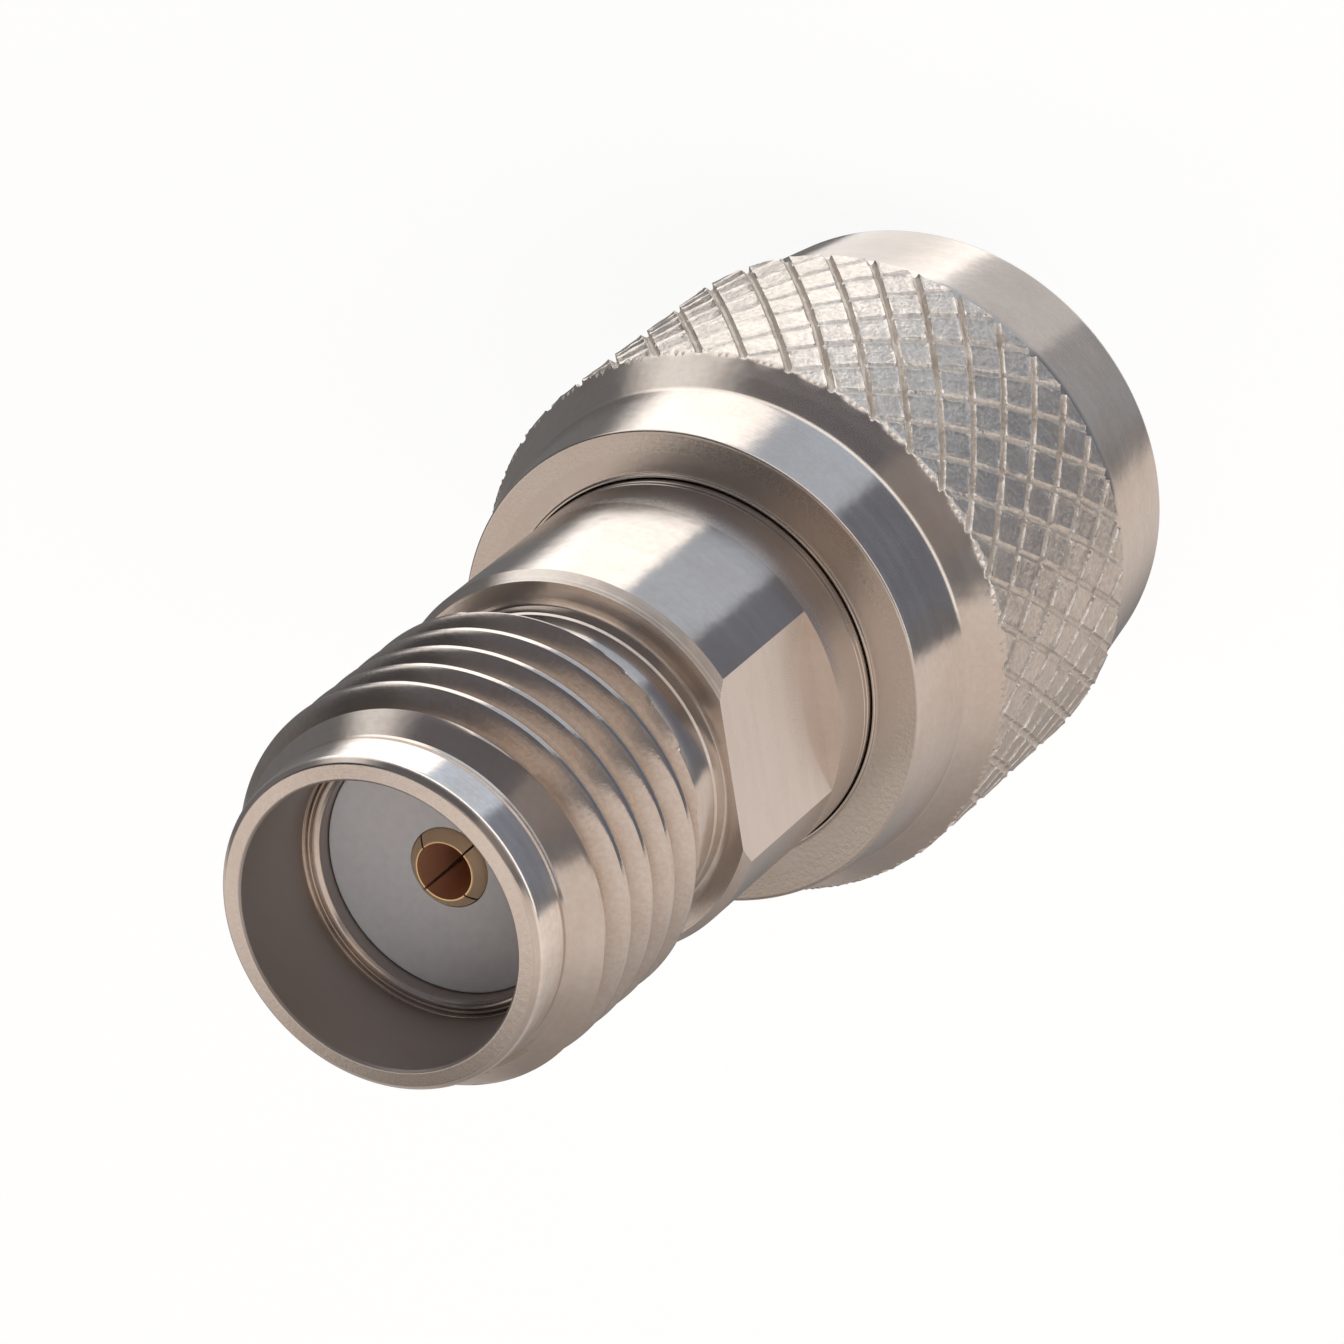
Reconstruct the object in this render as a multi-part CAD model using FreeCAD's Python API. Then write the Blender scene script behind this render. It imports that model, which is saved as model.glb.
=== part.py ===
import FreeCAD, Part
import math
import os

os.makedirs("parts", exist_ok=True)

# Straight coaxial adapter, jack at the top and plug with its knurled coupling nut at the bottom.
# The axis is +Z and the nut's front face lies on Z = 0. All lengths are millimetres.

# Overall
overall_length = 18.9
plan_angle_of_slots = 38.0

# Jack mouth and nose
mouth_bore_radius = 2.305
mouth_bore_depth = 1.93
rim_outer_radius = 2.58
nose_radius = 2.68
nose_length = 0.9
bore_edge_break = 0.04
shoulder_inner_radius = 2.12

# Outer thread of the jack, 1/4-36 right-hand
thread_crest_radius = 3.175
thread_end_depth = 4.55
thread_pitch = 25.4 / 36
thread_depth = 0.43
thread_crest_width = 0.127
thread_flank_angle = 30.0
thread_first_crest_depth = 1.02
thread_first_crest_angle = -27.7
thread_cutter_overlap = 0.03

# Relief groove behind the thread
relief_radius = 2.64
relief_end_depth = 6.08
relief_corner = 0.12

# Collar with its two wrench flats
collar_radius = 3.17
collar_face_radius = 3.05
collar_chamfer_length = 0.2
flat_half_width = 2.8
flat_end_depth = 9.05

# Coaxial line
line_bore_radius = 2.05
line_wide_radius = 2.30
wide_bore_top = 15.5
contact_radius = 0.635
contact_wide_radius = 0.71
insulator_clearance = 0.01
contact_clearance = 0.01

# Coupling nut, outside
nut_length = 8.78
nut_band_length = 1.36
knurl_crest_radius = 4.568
knurl_start = 6.93
knurl_edge_step = 0.005
knurl_end = 2.47
nut_band_radius = knurl_crest_radius - 0.438
nut_face_radius = nut_band_radius - 0.18
nut_nose_radius = knurl_crest_radius - 0.168
nut_nose_middle_radius = nut_nose_radius - 0.12
nut_front_radius = nut_nose_middle_radius - 0.15
nut_front_chamfer = 0.06
nut_rear_edge_break = 0.06

# Coupling nut, inside
nut_running_clearance = 0.05
nut_thread_minor_radius = 2.83
nut_thread_start = 0.42
nut_thread_end = 4.4
nut_relief_radius = 3.35
nut_relief_end = 5.7

# Diamond knurl
knurl_starts = 37
knurl_helix_angle = 34.5
knurl_depth = 0.11
knurl_groove_half_width = 0.10
knurl_first_crossing_height = 6.95
knurl_first_crossing_angle = -58.7
knurl_outside_radius = 5.2
knurl_stock = 0.03
weld_distance = 0.0005

# Retaining ring between the body and the nut
ring_thickness = 0.54
ring_inner_radius = 2.80
ring_outer_radius = 3.50
ring_opening = 1.3
body_groove_radius = 2.75
body_groove_bottom = 6.40
body_groove_width = 0.60
nut_groove_radius = 3.55
nut_groove_bottom = 6.35
nut_groove_width = 0.70

# Plug end of the body and its ferrule
body_plug_face = 5.0
body_plug_chamfer = 0.2
ferrule_seat_radius = 2.60
ferrule_seat_top = 6.2
ferrule_radius = 2.29
reference_plane = 2.5
ferrule_edge_break = 0.1
ferrule_root_radius = 2.46
ferrule_root_start = 4.5

# Seal
gasket_outer_radius = 2.86
gasket_thickness = 0.65
gasket_rounding = 0.12
gasket_clearance = 0.01

# Jack insulator face and socket contact
jack_insulator_depth = 2.23
socket_depth = 2.07
socket_end_chamfer = 0.17
socket_bore_radius = 0.45
socket_bore_length = 3.8
socket_slot_width = 0.14
socket_slot_length = 2.6

# Contact joint between the two insulators
joint_plane = 10.05
contact_ring_radius = 1.0
contact_ring_half_height = 0.15
tail_radius = 0.395
tail_hole_radius = 0.40
tail_length = 1.85
tail_hole_length = 1.95

# Plug pin
pin_radius = 0.457
pin_tip_height = 0.6
pin_taper_length = 0.35
pin_tip_radius = 0.16


def turned(profile):
    """Solid of revolution about Z from a closed list of (radius, height) corners."""
    points = [FreeCAD.Vector(r, 0, z) for r, z in profile]
    points.append(points[0])
    face = Part.Face(Part.makePolygon(points))
    return face.revolve(FreeCAD.Vector(0, 0, 0), FreeCAD.Vector(0, 0, 1), 360)


def tube(inner, outer, low, high):
    """Plain ring of rectangular section."""
    return turned([(inner, low), (outer, low), (outer, high), (inner, high)])


def facing_out(solid):
    """The same solid with its skin turned outwards, as a cutter needs it."""
    if solid.Volume < 0:
        solid.reverse()
    return solid


def depth(distance):
    """Height of a feature that lies this far behind the jack's mouth face."""
    return overall_length - distance


def jack_body():
    """Turned body: jack nose, thread, relief, collar with flats, neck inside the nut."""
    mouth = overall_length
    nose_edge = nose_radius - rim_outer_radius
    nose_end = depth(nose_length)
    thread_top = nose_end - (thread_crest_radius - nose_radius)
    thread_bottom = depth(thread_end_depth)
    relief_bottom = depth(relief_end_depth)
    collar_top = relief_bottom - collar_chamfer_length
    ring_top = body_groove_bottom + body_groove_width
    shoulder = depth(mouth_bore_depth)
    lip = shoulder_inner_radius - line_bore_radius
    profile = [
        (mouth_bore_radius + bore_edge_break, mouth),
        (rim_outer_radius, mouth),
        (nose_radius, mouth - nose_edge),
        (nose_radius, nose_end),
        (thread_crest_radius, thread_top),
        (thread_crest_radius, thread_bottom),
        (relief_radius, thread_bottom - relief_corner),
        (relief_radius, relief_bottom + relief_corner / 2),
        (relief_radius + relief_corner / 2, relief_bottom),
        (collar_face_radius, relief_bottom),
        (collar_radius, collar_top),
        (collar_radius, ring_top),
        (body_groove_radius, ring_top),
        (body_groove_radius, body_groove_bottom),
        (collar_radius, body_groove_bottom),
        (collar_radius, body_plug_face + body_plug_chamfer),
        (collar_radius - body_plug_chamfer, body_plug_face),
        (ferrule_seat_radius, body_plug_face),
        (ferrule_seat_radius, ferrule_seat_top),
        (line_wide_radius, ferrule_seat_top),
        (line_wide_radius, wide_bore_top),
        (line_bore_radius, wide_bore_top),
        (line_bore_radius, shoulder - lip),
        (shoulder_inner_radius, shoulder),
        (mouth_bore_radius, shoulder),
        (mouth_bore_radius, mouth - bore_edge_break),
    ]
    body = turned(profile).cut(thread_cutter(nose_end, thread_bottom))
    flat_length = flat_end_depth - relief_end_depth
    flat_low = depth(flat_end_depth)
    cutter_depth = collar_radius - flat_half_width
    for side in (-1, 1):
        near = flat_half_width if side > 0 else -flat_half_width - cutter_depth
        corner = FreeCAD.Vector(-collar_radius, near, flat_low)
        body = body.cut(Part.makeBox(2 * collar_radius, cutter_depth, flat_length, corner))
    return body


def thread_cutter(thread_top, thread_bottom):
    """Groove of the outer thread, swept up a helix from below the thread to above it."""
    slope = math.tan(math.radians(thread_flank_angle))
    opening = thread_pitch - thread_crest_width
    root_radius = thread_crest_radius - thread_depth
    outer_radius = thread_crest_radius + thread_cutter_overlap
    half_root = opening / 2 - thread_depth * slope
    half_opening = opening / 2 + thread_cutter_overlap * slope
    first_groove = depth(thread_first_crest_depth + thread_crest_width + opening / 2)
    turns_below = math.ceil((first_groove - thread_bottom + opening) / thread_pitch)
    start = first_groove - turns_below * thread_pitch
    section = [
        (root_radius, start - half_root),
        (outer_radius, start - half_opening),
        (outer_radius, start + half_opening),
        (root_radius, start + half_root),
    ]
    corners = [FreeCAD.Vector(r, 0, z) for r, z in section]
    helix = Part.makeLongHelix(thread_pitch, thread_top + opening - start, root_radius, 0)
    helix.translate(FreeCAD.Vector(0, 0, start))
    groove = Part.Wire(helix.Edges).makePipeShell([Part.makePolygon(corners + corners[:1])], True, True)
    groove.rotate(FreeCAD.Vector(0, 0, 0), FreeCAD.Vector(0, 0, 1), thread_first_crest_angle)
    return facing_out(groove)


def knurl_vertex(row, column, radius):
    """Groove crossing of the diamond lattice; rows climb by half a diamond."""
    spacing = 2 * math.pi / knurl_starts
    climb = knurl_row_height()
    angle = math.radians(knurl_first_crossing_angle) + spacing * (column + row / 2)
    height = knurl_first_crossing_height + climb * row
    return FreeCAD.Vector(radius * math.cos(angle), radius * math.sin(angle), height)


def knurl_row_height():
    """Height between two rows of groove crossings."""
    spacing = 2 * math.pi * knurl_crest_radius / knurl_starts
    return spacing / (2 * math.tan(math.radians(knurl_helix_angle)))


def knurl_cutter():
    """Ring whose inner skin is the diamond knurl: flat diamonds between V grooves."""
    row_height = knurl_row_height()
    rows_beyond = 2
    band_end = nut_length - nut_band_length
    low_row = math.floor((knurl_end - knurl_first_crossing_height) / row_height) - rows_beyond
    high_row = math.ceil((band_end - knurl_first_crossing_height) / row_height) + 1
    root = knurl_crest_radius - knurl_depth
    half_pitch = math.pi * knurl_crest_radius * math.cos(math.radians(knurl_helix_angle)) / knurl_starts
    shrink = 1 - knurl_groove_half_width / half_pitch
    points = []
    index = {}
    triangles = []

    def place(key, vector):
        if key not in index:
            index[key] = len(points)
            points.append(vector)
        return index[key]

    def crossing(row, column):
        column = column % knurl_starts
        return place(("root", row, column), knurl_vertex(row, column, root))

    def outer(row, column):
        column = column % knurl_starts
        return place(("outer", row, column), knurl_vertex(row, column, knurl_outside_radius))

    def around(row, column):
        return [(row, column), (row + 1, column), (row + 2, column - 1), (row + 1, column - 1)]

    def diamond_corner(row, column, number):
        corner_row, corner_column = around(row, column)[number]
        centre_angle = math.radians(knurl_first_crossing_angle) + step * (column + row / 2)
        centre_height = knurl_first_crossing_height + row_height * (row + 1)
        corner_angle = math.radians(knurl_first_crossing_angle) + step * (corner_column + corner_row / 2)
        corner_height = knurl_first_crossing_height + row_height * corner_row
        angle = centre_angle + shrink * (corner_angle - centre_angle)
        height = centre_height + shrink * (corner_height - centre_height)
        radius = knurl_crest_radius
        vector = FreeCAD.Vector(radius * math.cos(angle), radius * math.sin(angle), height)
        return place(("crest", row, column, number), vector)

    step = 2 * math.pi / knurl_starts
    for row in range(low_row, high_row - 1):
        for column in range(knurl_starts):
            base = [crossing(*neighbour) for neighbour in around(row, column)]
            crest = [diamond_corner(row, column, number) for number in range(4)]
            for number in range(4):
                following = (number + 1) % 4
                triangles.append((base[number], base[following], crest[following]))
                triangles.append((base[number], crest[following], crest[number]))
            triangles.append((crest[0], crest[1], crest[3]))
            triangles.append((crest[1], crest[2], crest[3]))
    for column in range(knurl_starts):
        for near_row, far_row in ((low_row, low_row + 1), (high_row, high_row - 1)):
            ends = [(near_row, column), (far_row, side_column(near_row, far_row, column, 0))]
            others = [(far_row, side_column(near_row, far_row, column, -1)), (near_row, column)]
            for first, second in (ends, others):
                a = crossing(*first)
                b = crossing(*second)
                c = outer(*second)
                d = outer(*first)
                triangles.append((a, b, c))
                triangles.append((a, c, d))
    for half_step in range(2 * knurl_starts):
        walls = []
        for position in (half_step, half_step + 1):
            low = rim_vertex(low_row, low_row + 1, position)
            high = rim_vertex(high_row, high_row - 1, position)
            walls.append((outer(*low), outer(*high)))
        (low_a, high_a), (low_b, high_b) = walls
        triangles.append((low_a, low_b, high_b))
        triangles.append((low_a, high_b, high_a))
    skin = Part.Shape()
    skin.makeShapeFromMesh((points, triangles), weld_distance)
    return facing_out(Part.makeSolid(skin))


def side_column(near_row, far_row, column, side):
    """Column of the crossing to the right (0) or left (-1) in the next row up or down."""
    if far_row > near_row:
        return column + side
    return column + 1 + side


def rim_vertex(near_row, far_row, position):
    """Crossing that lies at this half step around the rim of the lattice."""
    angle_half_steps = position
    if (angle_half_steps - near_row) % 2 == 0:
        return near_row, (angle_half_steps - near_row) // 2
    return far_row, (angle_half_steps - far_row) // 2


def coupling_nut():
    """Round knurled nut with its ring groove, thread bore and smooth nose."""
    running_radius = collar_radius + nut_running_clearance
    band_end = nut_length - nut_band_length
    stock_radius = knurl_crest_radius + knurl_stock
    cone_end_radius = knurl_crest_radius - knurl_depth - knurl_edge_step
    groove_top = nut_groove_bottom + nut_groove_width
    nose_middle = knurl_end / 2
    lead_radius = nut_thread_minor_radius + nut_thread_start
    relief_step = nut_relief_radius - nut_thread_minor_radius
    outside = [
        (running_radius + nut_rear_edge_break, nut_length),
        (nut_face_radius, nut_length),
        (nut_band_radius, band_end),
        (cone_end_radius, knurl_start),
        (stock_radius, knurl_start),
        (stock_radius, knurl_end),
        (nut_nose_radius, knurl_end),
        (nut_nose_middle_radius, nose_middle),
        (nut_front_radius, nut_front_chamfer),
        (nut_front_radius - nut_front_chamfer, 0),
    ]
    inside = [
        (lead_radius, 0),
        (nut_thread_minor_radius, nut_thread_start),
        (nut_thread_minor_radius, nut_thread_end - relief_step / 2),
        (nut_relief_radius, nut_thread_end),
        (nut_relief_radius, nut_relief_end),
        (running_radius, nut_relief_end),
        (running_radius, nut_groove_bottom),
        (nut_groove_radius, nut_groove_bottom),
        (nut_groove_radius, groove_top),
        (running_radius, groove_top),
        (running_radius, nut_length - nut_rear_edge_break),
    ]
    return turned(outside + inside).cut(knurl_cutter())


def retaining_ring():
    """Split spring ring that holds the nut on the body and lets it turn."""
    low = body_groove_bottom + (body_groove_width - ring_thickness) / 2
    ring = tube(ring_inner_radius, ring_outer_radius, low, low + ring_thickness)
    corner = FreeCAD.Vector(-ring_opening / 2, 0, low)
    return ring.cut(Part.makeBox(ring_opening, ring_outer_radius, ring_thickness, corner))


def plug_ferrule():
    """Outer contact of the plug, pressed into the body; its end is the reference plane."""
    profile = [
        (line_bore_radius, reference_plane),
        (ferrule_radius - ferrule_edge_break, reference_plane),
        (ferrule_radius, reference_plane + ferrule_edge_break),
        (ferrule_radius, ferrule_root_start),
        (ferrule_root_radius, ferrule_root_start),
        (ferrule_root_radius, body_plug_face),
        (ferrule_seat_radius, body_plug_face),
        (ferrule_seat_radius, ferrule_seat_top),
        (line_bore_radius, ferrule_seat_top),
    ]
    return turned(profile)


def seal_gasket():
    """Soft ring around the ferrule's root, against the end of the body."""
    low = body_plug_face - gasket_thickness
    inner = ferrule_root_radius + gasket_clearance
    profile = [
        (inner, low + gasket_rounding),
        (inner + gasket_rounding, low),
        (gasket_outer_radius - gasket_rounding, low),
        (gasket_outer_radius, low + gasket_rounding),
        (gasket_outer_radius, body_plug_face - gasket_rounding),
        (gasket_outer_radius - gasket_rounding, body_plug_face),
        (inner, body_plug_face),
    ]
    return turned(profile)


def jack_insulator():
    """Stepped insulator of the jack half, seated on the step in the body's bore."""
    face = depth(jack_insulator_depth)
    narrow_hole = contact_radius + contact_clearance
    wide_hole = contact_wide_radius + contact_clearance
    ring_hole = contact_ring_radius + contact_clearance
    profile = [
        (narrow_hole, face),
        (line_bore_radius - insulator_clearance, face),
        (line_bore_radius - insulator_clearance, wide_bore_top),
        (line_wide_radius - insulator_clearance, wide_bore_top),
        (line_wide_radius - insulator_clearance, joint_plane),
        (ring_hole, joint_plane),
        (ring_hole, joint_plane + contact_ring_half_height),
        (wide_hole, joint_plane + contact_ring_half_height),
        (wide_hole, wide_bore_top),
        (narrow_hole, wide_bore_top),
    ]
    return turned(profile)


def plug_insulator():
    """Stepped insulator of the plug half, held by the inner end of the ferrule."""
    narrow_hole = contact_radius + contact_clearance
    wide_hole = contact_wide_radius + contact_clearance
    ring_hole = contact_ring_radius + contact_clearance
    profile = [
        (narrow_hole, reference_plane),
        (line_bore_radius - insulator_clearance, reference_plane),
        (line_bore_radius - insulator_clearance, ferrule_seat_top),
        (line_wide_radius - insulator_clearance, ferrule_seat_top),
        (line_wide_radius - insulator_clearance, joint_plane),
        (ring_hole, joint_plane),
        (ring_hole, joint_plane - contact_ring_half_height),
        (wide_hole, joint_plane - contact_ring_half_height),
        (wide_hole, ferrule_seat_top),
        (narrow_hole, ferrule_seat_top),
    ]
    return turned(profile)


def socket_contact():
    """Slotted spring socket with the hole that takes the pin's tail at its back."""
    top = depth(socket_depth)
    bore_bottom = top - socket_bore_length
    hole_top = joint_plane + tail_hole_length
    outside = [
        (contact_radius - socket_end_chamfer, top),
        (contact_radius, top - socket_end_chamfer),
        (contact_radius, wide_bore_top),
        (contact_wide_radius, wide_bore_top),
        (contact_wide_radius, joint_plane + contact_ring_half_height),
        (contact_ring_radius, joint_plane + contact_ring_half_height),
        (contact_ring_radius, joint_plane),
        (tail_hole_radius, joint_plane),
        (tail_hole_radius, hole_top),
        (0, hole_top),
        (0, bore_bottom),
        (socket_bore_radius, bore_bottom),
        (socket_bore_radius, top),
    ]
    contact = turned(outside)
    across = 2 * contact_wide_radius
    corner = FreeCAD.Vector(-across / 2, -socket_slot_width / 2, top - socket_slot_length)
    for turn in (0, 90):
        slot = Part.makeBox(across, socket_slot_width, socket_slot_length, corner)
        slot.rotate(FreeCAD.Vector(0, 0, 0), FreeCAD.Vector(0, 0, 1), plan_angle_of_slots + turn)
        contact = contact.cut(slot)
    return contact


def pin_contact():
    """Plug pin with a tapered tip and the tail that enters the socket contact."""
    profile = [
        (0, pin_tip_height),
        (pin_tip_radius, pin_tip_height),
        (pin_radius, pin_tip_height + pin_taper_length),
        (pin_radius, reference_plane),
        (contact_radius, reference_plane),
        (contact_radius, ferrule_seat_top),
        (contact_wide_radius, ferrule_seat_top),
        (contact_wide_radius, joint_plane - contact_ring_half_height),
        (contact_ring_radius, joint_plane - contact_ring_half_height),
        (contact_ring_radius, joint_plane),
        (tail_radius, joint_plane),
        (tail_radius, joint_plane + tail_length),
        (0, joint_plane + tail_length),
    ]
    return turned(profile)


pieces = {
    "jack_body": jack_body,
    "coupling_nut": coupling_nut,
    "retaining_ring": retaining_ring,
    "plug_ferrule": plug_ferrule,
    "seal_gasket": seal_gasket,
    "jack_insulator": jack_insulator,
    "plug_insulator": plug_insulator,
    "socket_contact": socket_contact,
    "pin_contact": pin_contact,
}

for name, build in pieces.items():
    shape = build()
    if shape.ShapeType != "Solid" and len(shape.Solids) == 1:
        shape = shape.Solids[0]
    print(name, shape.ShapeType, "valid", shape.isValid(), "faces", len(shape.Faces), round(shape.Volume, 4))
    shape.exportStep("parts/" + name + ".step")
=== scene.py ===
"""Looks of a straight coaxial adapter: threaded jack at the top, knurled plug nut at the bottom.

Every piece is drawn in millimetres round the +Z axis and scaled to metres when its mesh is made.
Names that end in _deg and all angles of the surroundings are in degrees.
"""

import logging
import math
from dataclasses import dataclass, field, replace
from enum import Enum, IntEnum
from typing import Callable, Optional, Sequence

import bmesh
import bpy
import numpy as np
from mathutils import Matrix, Vector


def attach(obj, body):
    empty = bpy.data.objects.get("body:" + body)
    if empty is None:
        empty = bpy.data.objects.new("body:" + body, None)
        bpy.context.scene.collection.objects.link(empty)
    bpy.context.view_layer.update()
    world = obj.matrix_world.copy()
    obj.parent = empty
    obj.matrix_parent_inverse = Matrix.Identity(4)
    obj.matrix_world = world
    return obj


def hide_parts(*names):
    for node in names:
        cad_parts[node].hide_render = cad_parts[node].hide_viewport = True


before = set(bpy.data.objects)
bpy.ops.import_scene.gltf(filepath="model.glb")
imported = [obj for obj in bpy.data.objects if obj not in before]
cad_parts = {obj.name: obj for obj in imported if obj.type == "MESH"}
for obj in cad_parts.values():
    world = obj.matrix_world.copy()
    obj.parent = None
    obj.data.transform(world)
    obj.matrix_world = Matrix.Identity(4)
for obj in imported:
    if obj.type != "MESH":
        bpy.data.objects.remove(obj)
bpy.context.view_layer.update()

MM = 0.001
FULL_TURN = 2 * math.pi
WELD_MM = 2e-5  # points closer than this are one
HOLD_MM = 0.03  # a rounding is held by rings this far outside it
HOLD_SHARE = 0.04  # and never further along its line than this share
AXIS_MM = 0.001  # radius that stands for the axis
NO_REPEAT = 100000  # period of a noise that doesn't repeat
WIDE_RINGS = 7  # one wide tool ring for so many fine ones
CREST_PLAIN_DEPTH = 0.008  # depth in mm below the crests that keeps the plain tint, above the painted valley tone
PLASTIC_LINES = 14.0  # tool lines to the millimetre on plastic
PLASTIC_LINE_DEPTH = 0.0007  # and their depth in mm
SCATTER_MM = 0.4  # how far light spreads inside the plastic
LOG = logging.getLogger("adapter")

Corner = tuple[float, ...]
Colour = tuple[float, float, float]
Socket = bpy.types.NodeSocket


class Body(Enum):
    """The two bodies of the frame."""

    FIXED = "body"
    NUT = "nut"


class Slot(Enum):
    """Material slots of the record."""

    STEEL = "stainless"
    SPRING = "spring_alloy"
    SILICONE = "silicone"
    PLASTIC = "white_plastic"
    GOLD = "gold_plate"


class BodyFace(IntEnum):
    """Finish numbers of the jack's body."""

    TURNED = 0
    MILLED = 1
    FACED = 2
    BORE = 3
    THREAD = 4
    # Nose band, in the painted-highlight copy of the turned steel.
    NOSE = 5


class NutFace(IntEnum):
    """Finish numbers of the coupling nut."""

    TURNED = 0
    # Nut faces, in the painted-shade copy of the faced steel.
    FACED = 1
    BORE = 2
    KNURLED = 3


class SocketFace(IntEnum):
    """Finish numbers of the slotted socket."""

    PLATED = 0
    # Chamfer, in darker, duller gold.
    WORN = 1
    # Hole walls, in the painted-shade copy of the gold.
    BORED = 2


# Meshes


class Draft:
    """A mesh in the making: points in millimetres, faces and the finish that each face takes."""

    def __init__(self) -> None:
        """Starts with no points and no faces."""
        self.points: list[np.ndarray] = []
        self.faces: list[tuple[int, ...]] = []
        self.finishes: list[int] = []
        self.count = 0

    def add_points(self, points: np.ndarray) -> int:
        """Adds points.

        Args:
            points: Array of n by 3 coordinates.

        Returns:
            The index of the first of them.
        """
        start = self.count
        self.points.append(np.asarray(points, float).reshape(-1, 3))
        self.count += len(self.points[-1])
        return start

    def add_face(self, corners: Sequence[int], finish: int = 0) -> None:
        """Adds a face.

        Args:
            corners: Point indices in order.
            finish: Number of the finish that the face takes.
        """
        self.faces.append(tuple(int(c) for c in corners))
        self.finishes.append(int(finish))

    def add_rings(self, rings: np.ndarray, finishes: Sequence[int], shift: int = 0) -> None:
        """Adds a skin over rings of points that close on themselves.

        Args:
            rings: Array of rings by columns by 3.
            finishes: Finish of each band between two rings.
            shift: Rings that a point moves on by in one whole turn, for a helix.
        """
        rows, columns, _ = rings.shape
        start = self.add_points(rings)
        for row in range(rows - 1):
            for column in range(columns):
                following, step = (column + 1, 0) if column + 1 < columns else (0, shift)
                low, high = row + step, row + step + 1
                if high >= rows or low < 0:
                    continue
                self.add_face(
                    (
                        start + row * columns + column,
                        start + low * columns + following,
                        start + high * columns + following,
                        start + (row + 1) * columns + column,
                    ),
                    finishes[min(row, len(finishes) - 1)],
                )

    def zip_loops(self, first: Sequence[int], second: Sequence[int], finish: int = 0) -> None:
        """Joins two rings of points that have different numbers of points.

        Args:
            first: Point indices of one ring in order of angle.
            second: Point indices of the other ring in order of angle.
            finish: Finish of the new faces.
        """
        everything = np.concatenate(self.points)
        angles = [np.arctan2(everything[list(r), 1], everything[list(r), 0]) for r in (first, second)]
        first = [first[i] for i in np.argsort(angles[0])]
        second = [second[i] for i in np.argsort(angles[1])]
        marks = [np.sort(a) for a in angles]
        i = j = 0
        while i < len(first) or j < len(second):
            next_first = marks[0][i + 1] if i + 1 < len(first) else marks[0][0] + FULL_TURN
            next_second = marks[1][j + 1] if j + 1 < len(second) else marks[1][0] + FULL_TURN
            a, b = first[i % len(first)], second[j % len(second)]
            if j >= len(second) or (i < len(first) and next_first <= next_second):
                self.add_face((a, first[(i + 1) % len(first)], b), finish)
                i += 1
            else:
                self.add_face((a, second[(j + 1) % len(second)], b), finish)
                j += 1

    def build(self, name: str, sharp_deg: float = 28.0) -> bpy.types.Object:
        """Makes the Blender object.

        Args:
            name: Name of the new piece.
            sharp_deg: Edges that turn by more than this stay sharp.

        Returns:
            The new object, in metres.
        """
        mesh = bpy.data.meshes.new(name)
        mesh.from_pydata((np.concatenate(self.points) * MM).tolist(), [], self.faces)
        mesh.polygons.foreach_set("material_index", self.finishes)
        tidy = bmesh.new()
        tidy.from_mesh(mesh)
        bmesh.ops.remove_doubles(tidy, verts=tidy.verts, dist=WELD_MM * MM)
        bmesh.ops.dissolve_degenerate(tidy, edges=tidy.edges, dist=WELD_MM * MM / 2)
        loose = [v for v in tidy.verts if not v.link_faces]
        bmesh.ops.delete(tidy, geom=loose, context="VERTS")
        bmesh.ops.recalc_face_normals(tidy, faces=tidy.faces)
        limit = math.radians(sharp_deg)
        for edge in tidy.edges:
            edge.smooth = edge.is_manifold and edge.calc_face_angle(0.0) < limit
        for face in tidy.faces:
            face.smooth = True
        tidy.to_mesh(mesh)
        tidy.free()
        piece = bpy.data.objects.new(name, mesh)
        bpy.context.scene.collection.objects.link(piece)
        return piece


def softened(profile: Sequence[Corner], steps: int = 3) -> list[Corner]:
    """Rounds the corners of a closed profile.

    Args:
        profile: Corners as (radius, height, rounding, finish); the last two may be left out.
        steps: Straight parts of each rounding.

    Returns:
        Corners as (radius, height, finish), the finish being that of the line which follows.
    """
    full = [tuple(c) + (0.0, 0)[len(c) - 2:] for c in profile]
    result: list[Corner] = []
    for number, (radius, height, rounding, finish) in enumerate(full):
        here = np.array([radius, height])
        before = np.array(full[number - 1][:2]) - here
        after = np.array(full[(number + 1) % len(full)][:2]) - here
        reach = min(rounding, 0.45 * np.linalg.norm(before), 0.45 * np.linalg.norm(after))
        if reach <= 0:
            result.append((radius, height, finish))
            continue
        start = here + before / np.linalg.norm(before) * reach
        end = here + after / np.linalg.norm(after) * reach
        lead_in = start + before / np.linalg.norm(before) * min(HOLD_MM, HOLD_SHARE * np.linalg.norm(before))
        run_out = end + after / np.linalg.norm(after) * min(HOLD_MM, HOLD_SHARE * np.linalg.norm(after))
        bend = [(1 - t) ** 2 * start + 2 * t * (1 - t) * here + t * t * end for t in np.linspace(0, 1, steps + 1)]
        result.append((float(lead_in[0]), float(lead_in[1]), full[number - 1][3]))
        result += [(float(r), float(z), finish) for r, z in (*bend, run_out)]
    return result


def softer_of(first: np.ndarray, second: np.ndarray, softness: float) -> np.ndarray:
    """The smaller of two values, rounded where they meet.

    Args:
        first: First values.
        second: Second values.
        softness: Size of the rounding.

    Returns:
        Values just under the smaller of the two.
    """
    gap = np.clip(0.5 + 0.5 * (second - first) / softness, 0, 1)
    return second * (1 - gap) + first * gap - softness * gap * (1 - gap)


def circle(radius: object, height: object, angles: np.ndarray) -> np.ndarray:
    """Points round the axis, at one radius and height or at one for each angle."""
    return np.stack(np.broadcast_arrays(radius * np.cos(angles), radius * np.sin(angles), height), -1)


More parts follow.
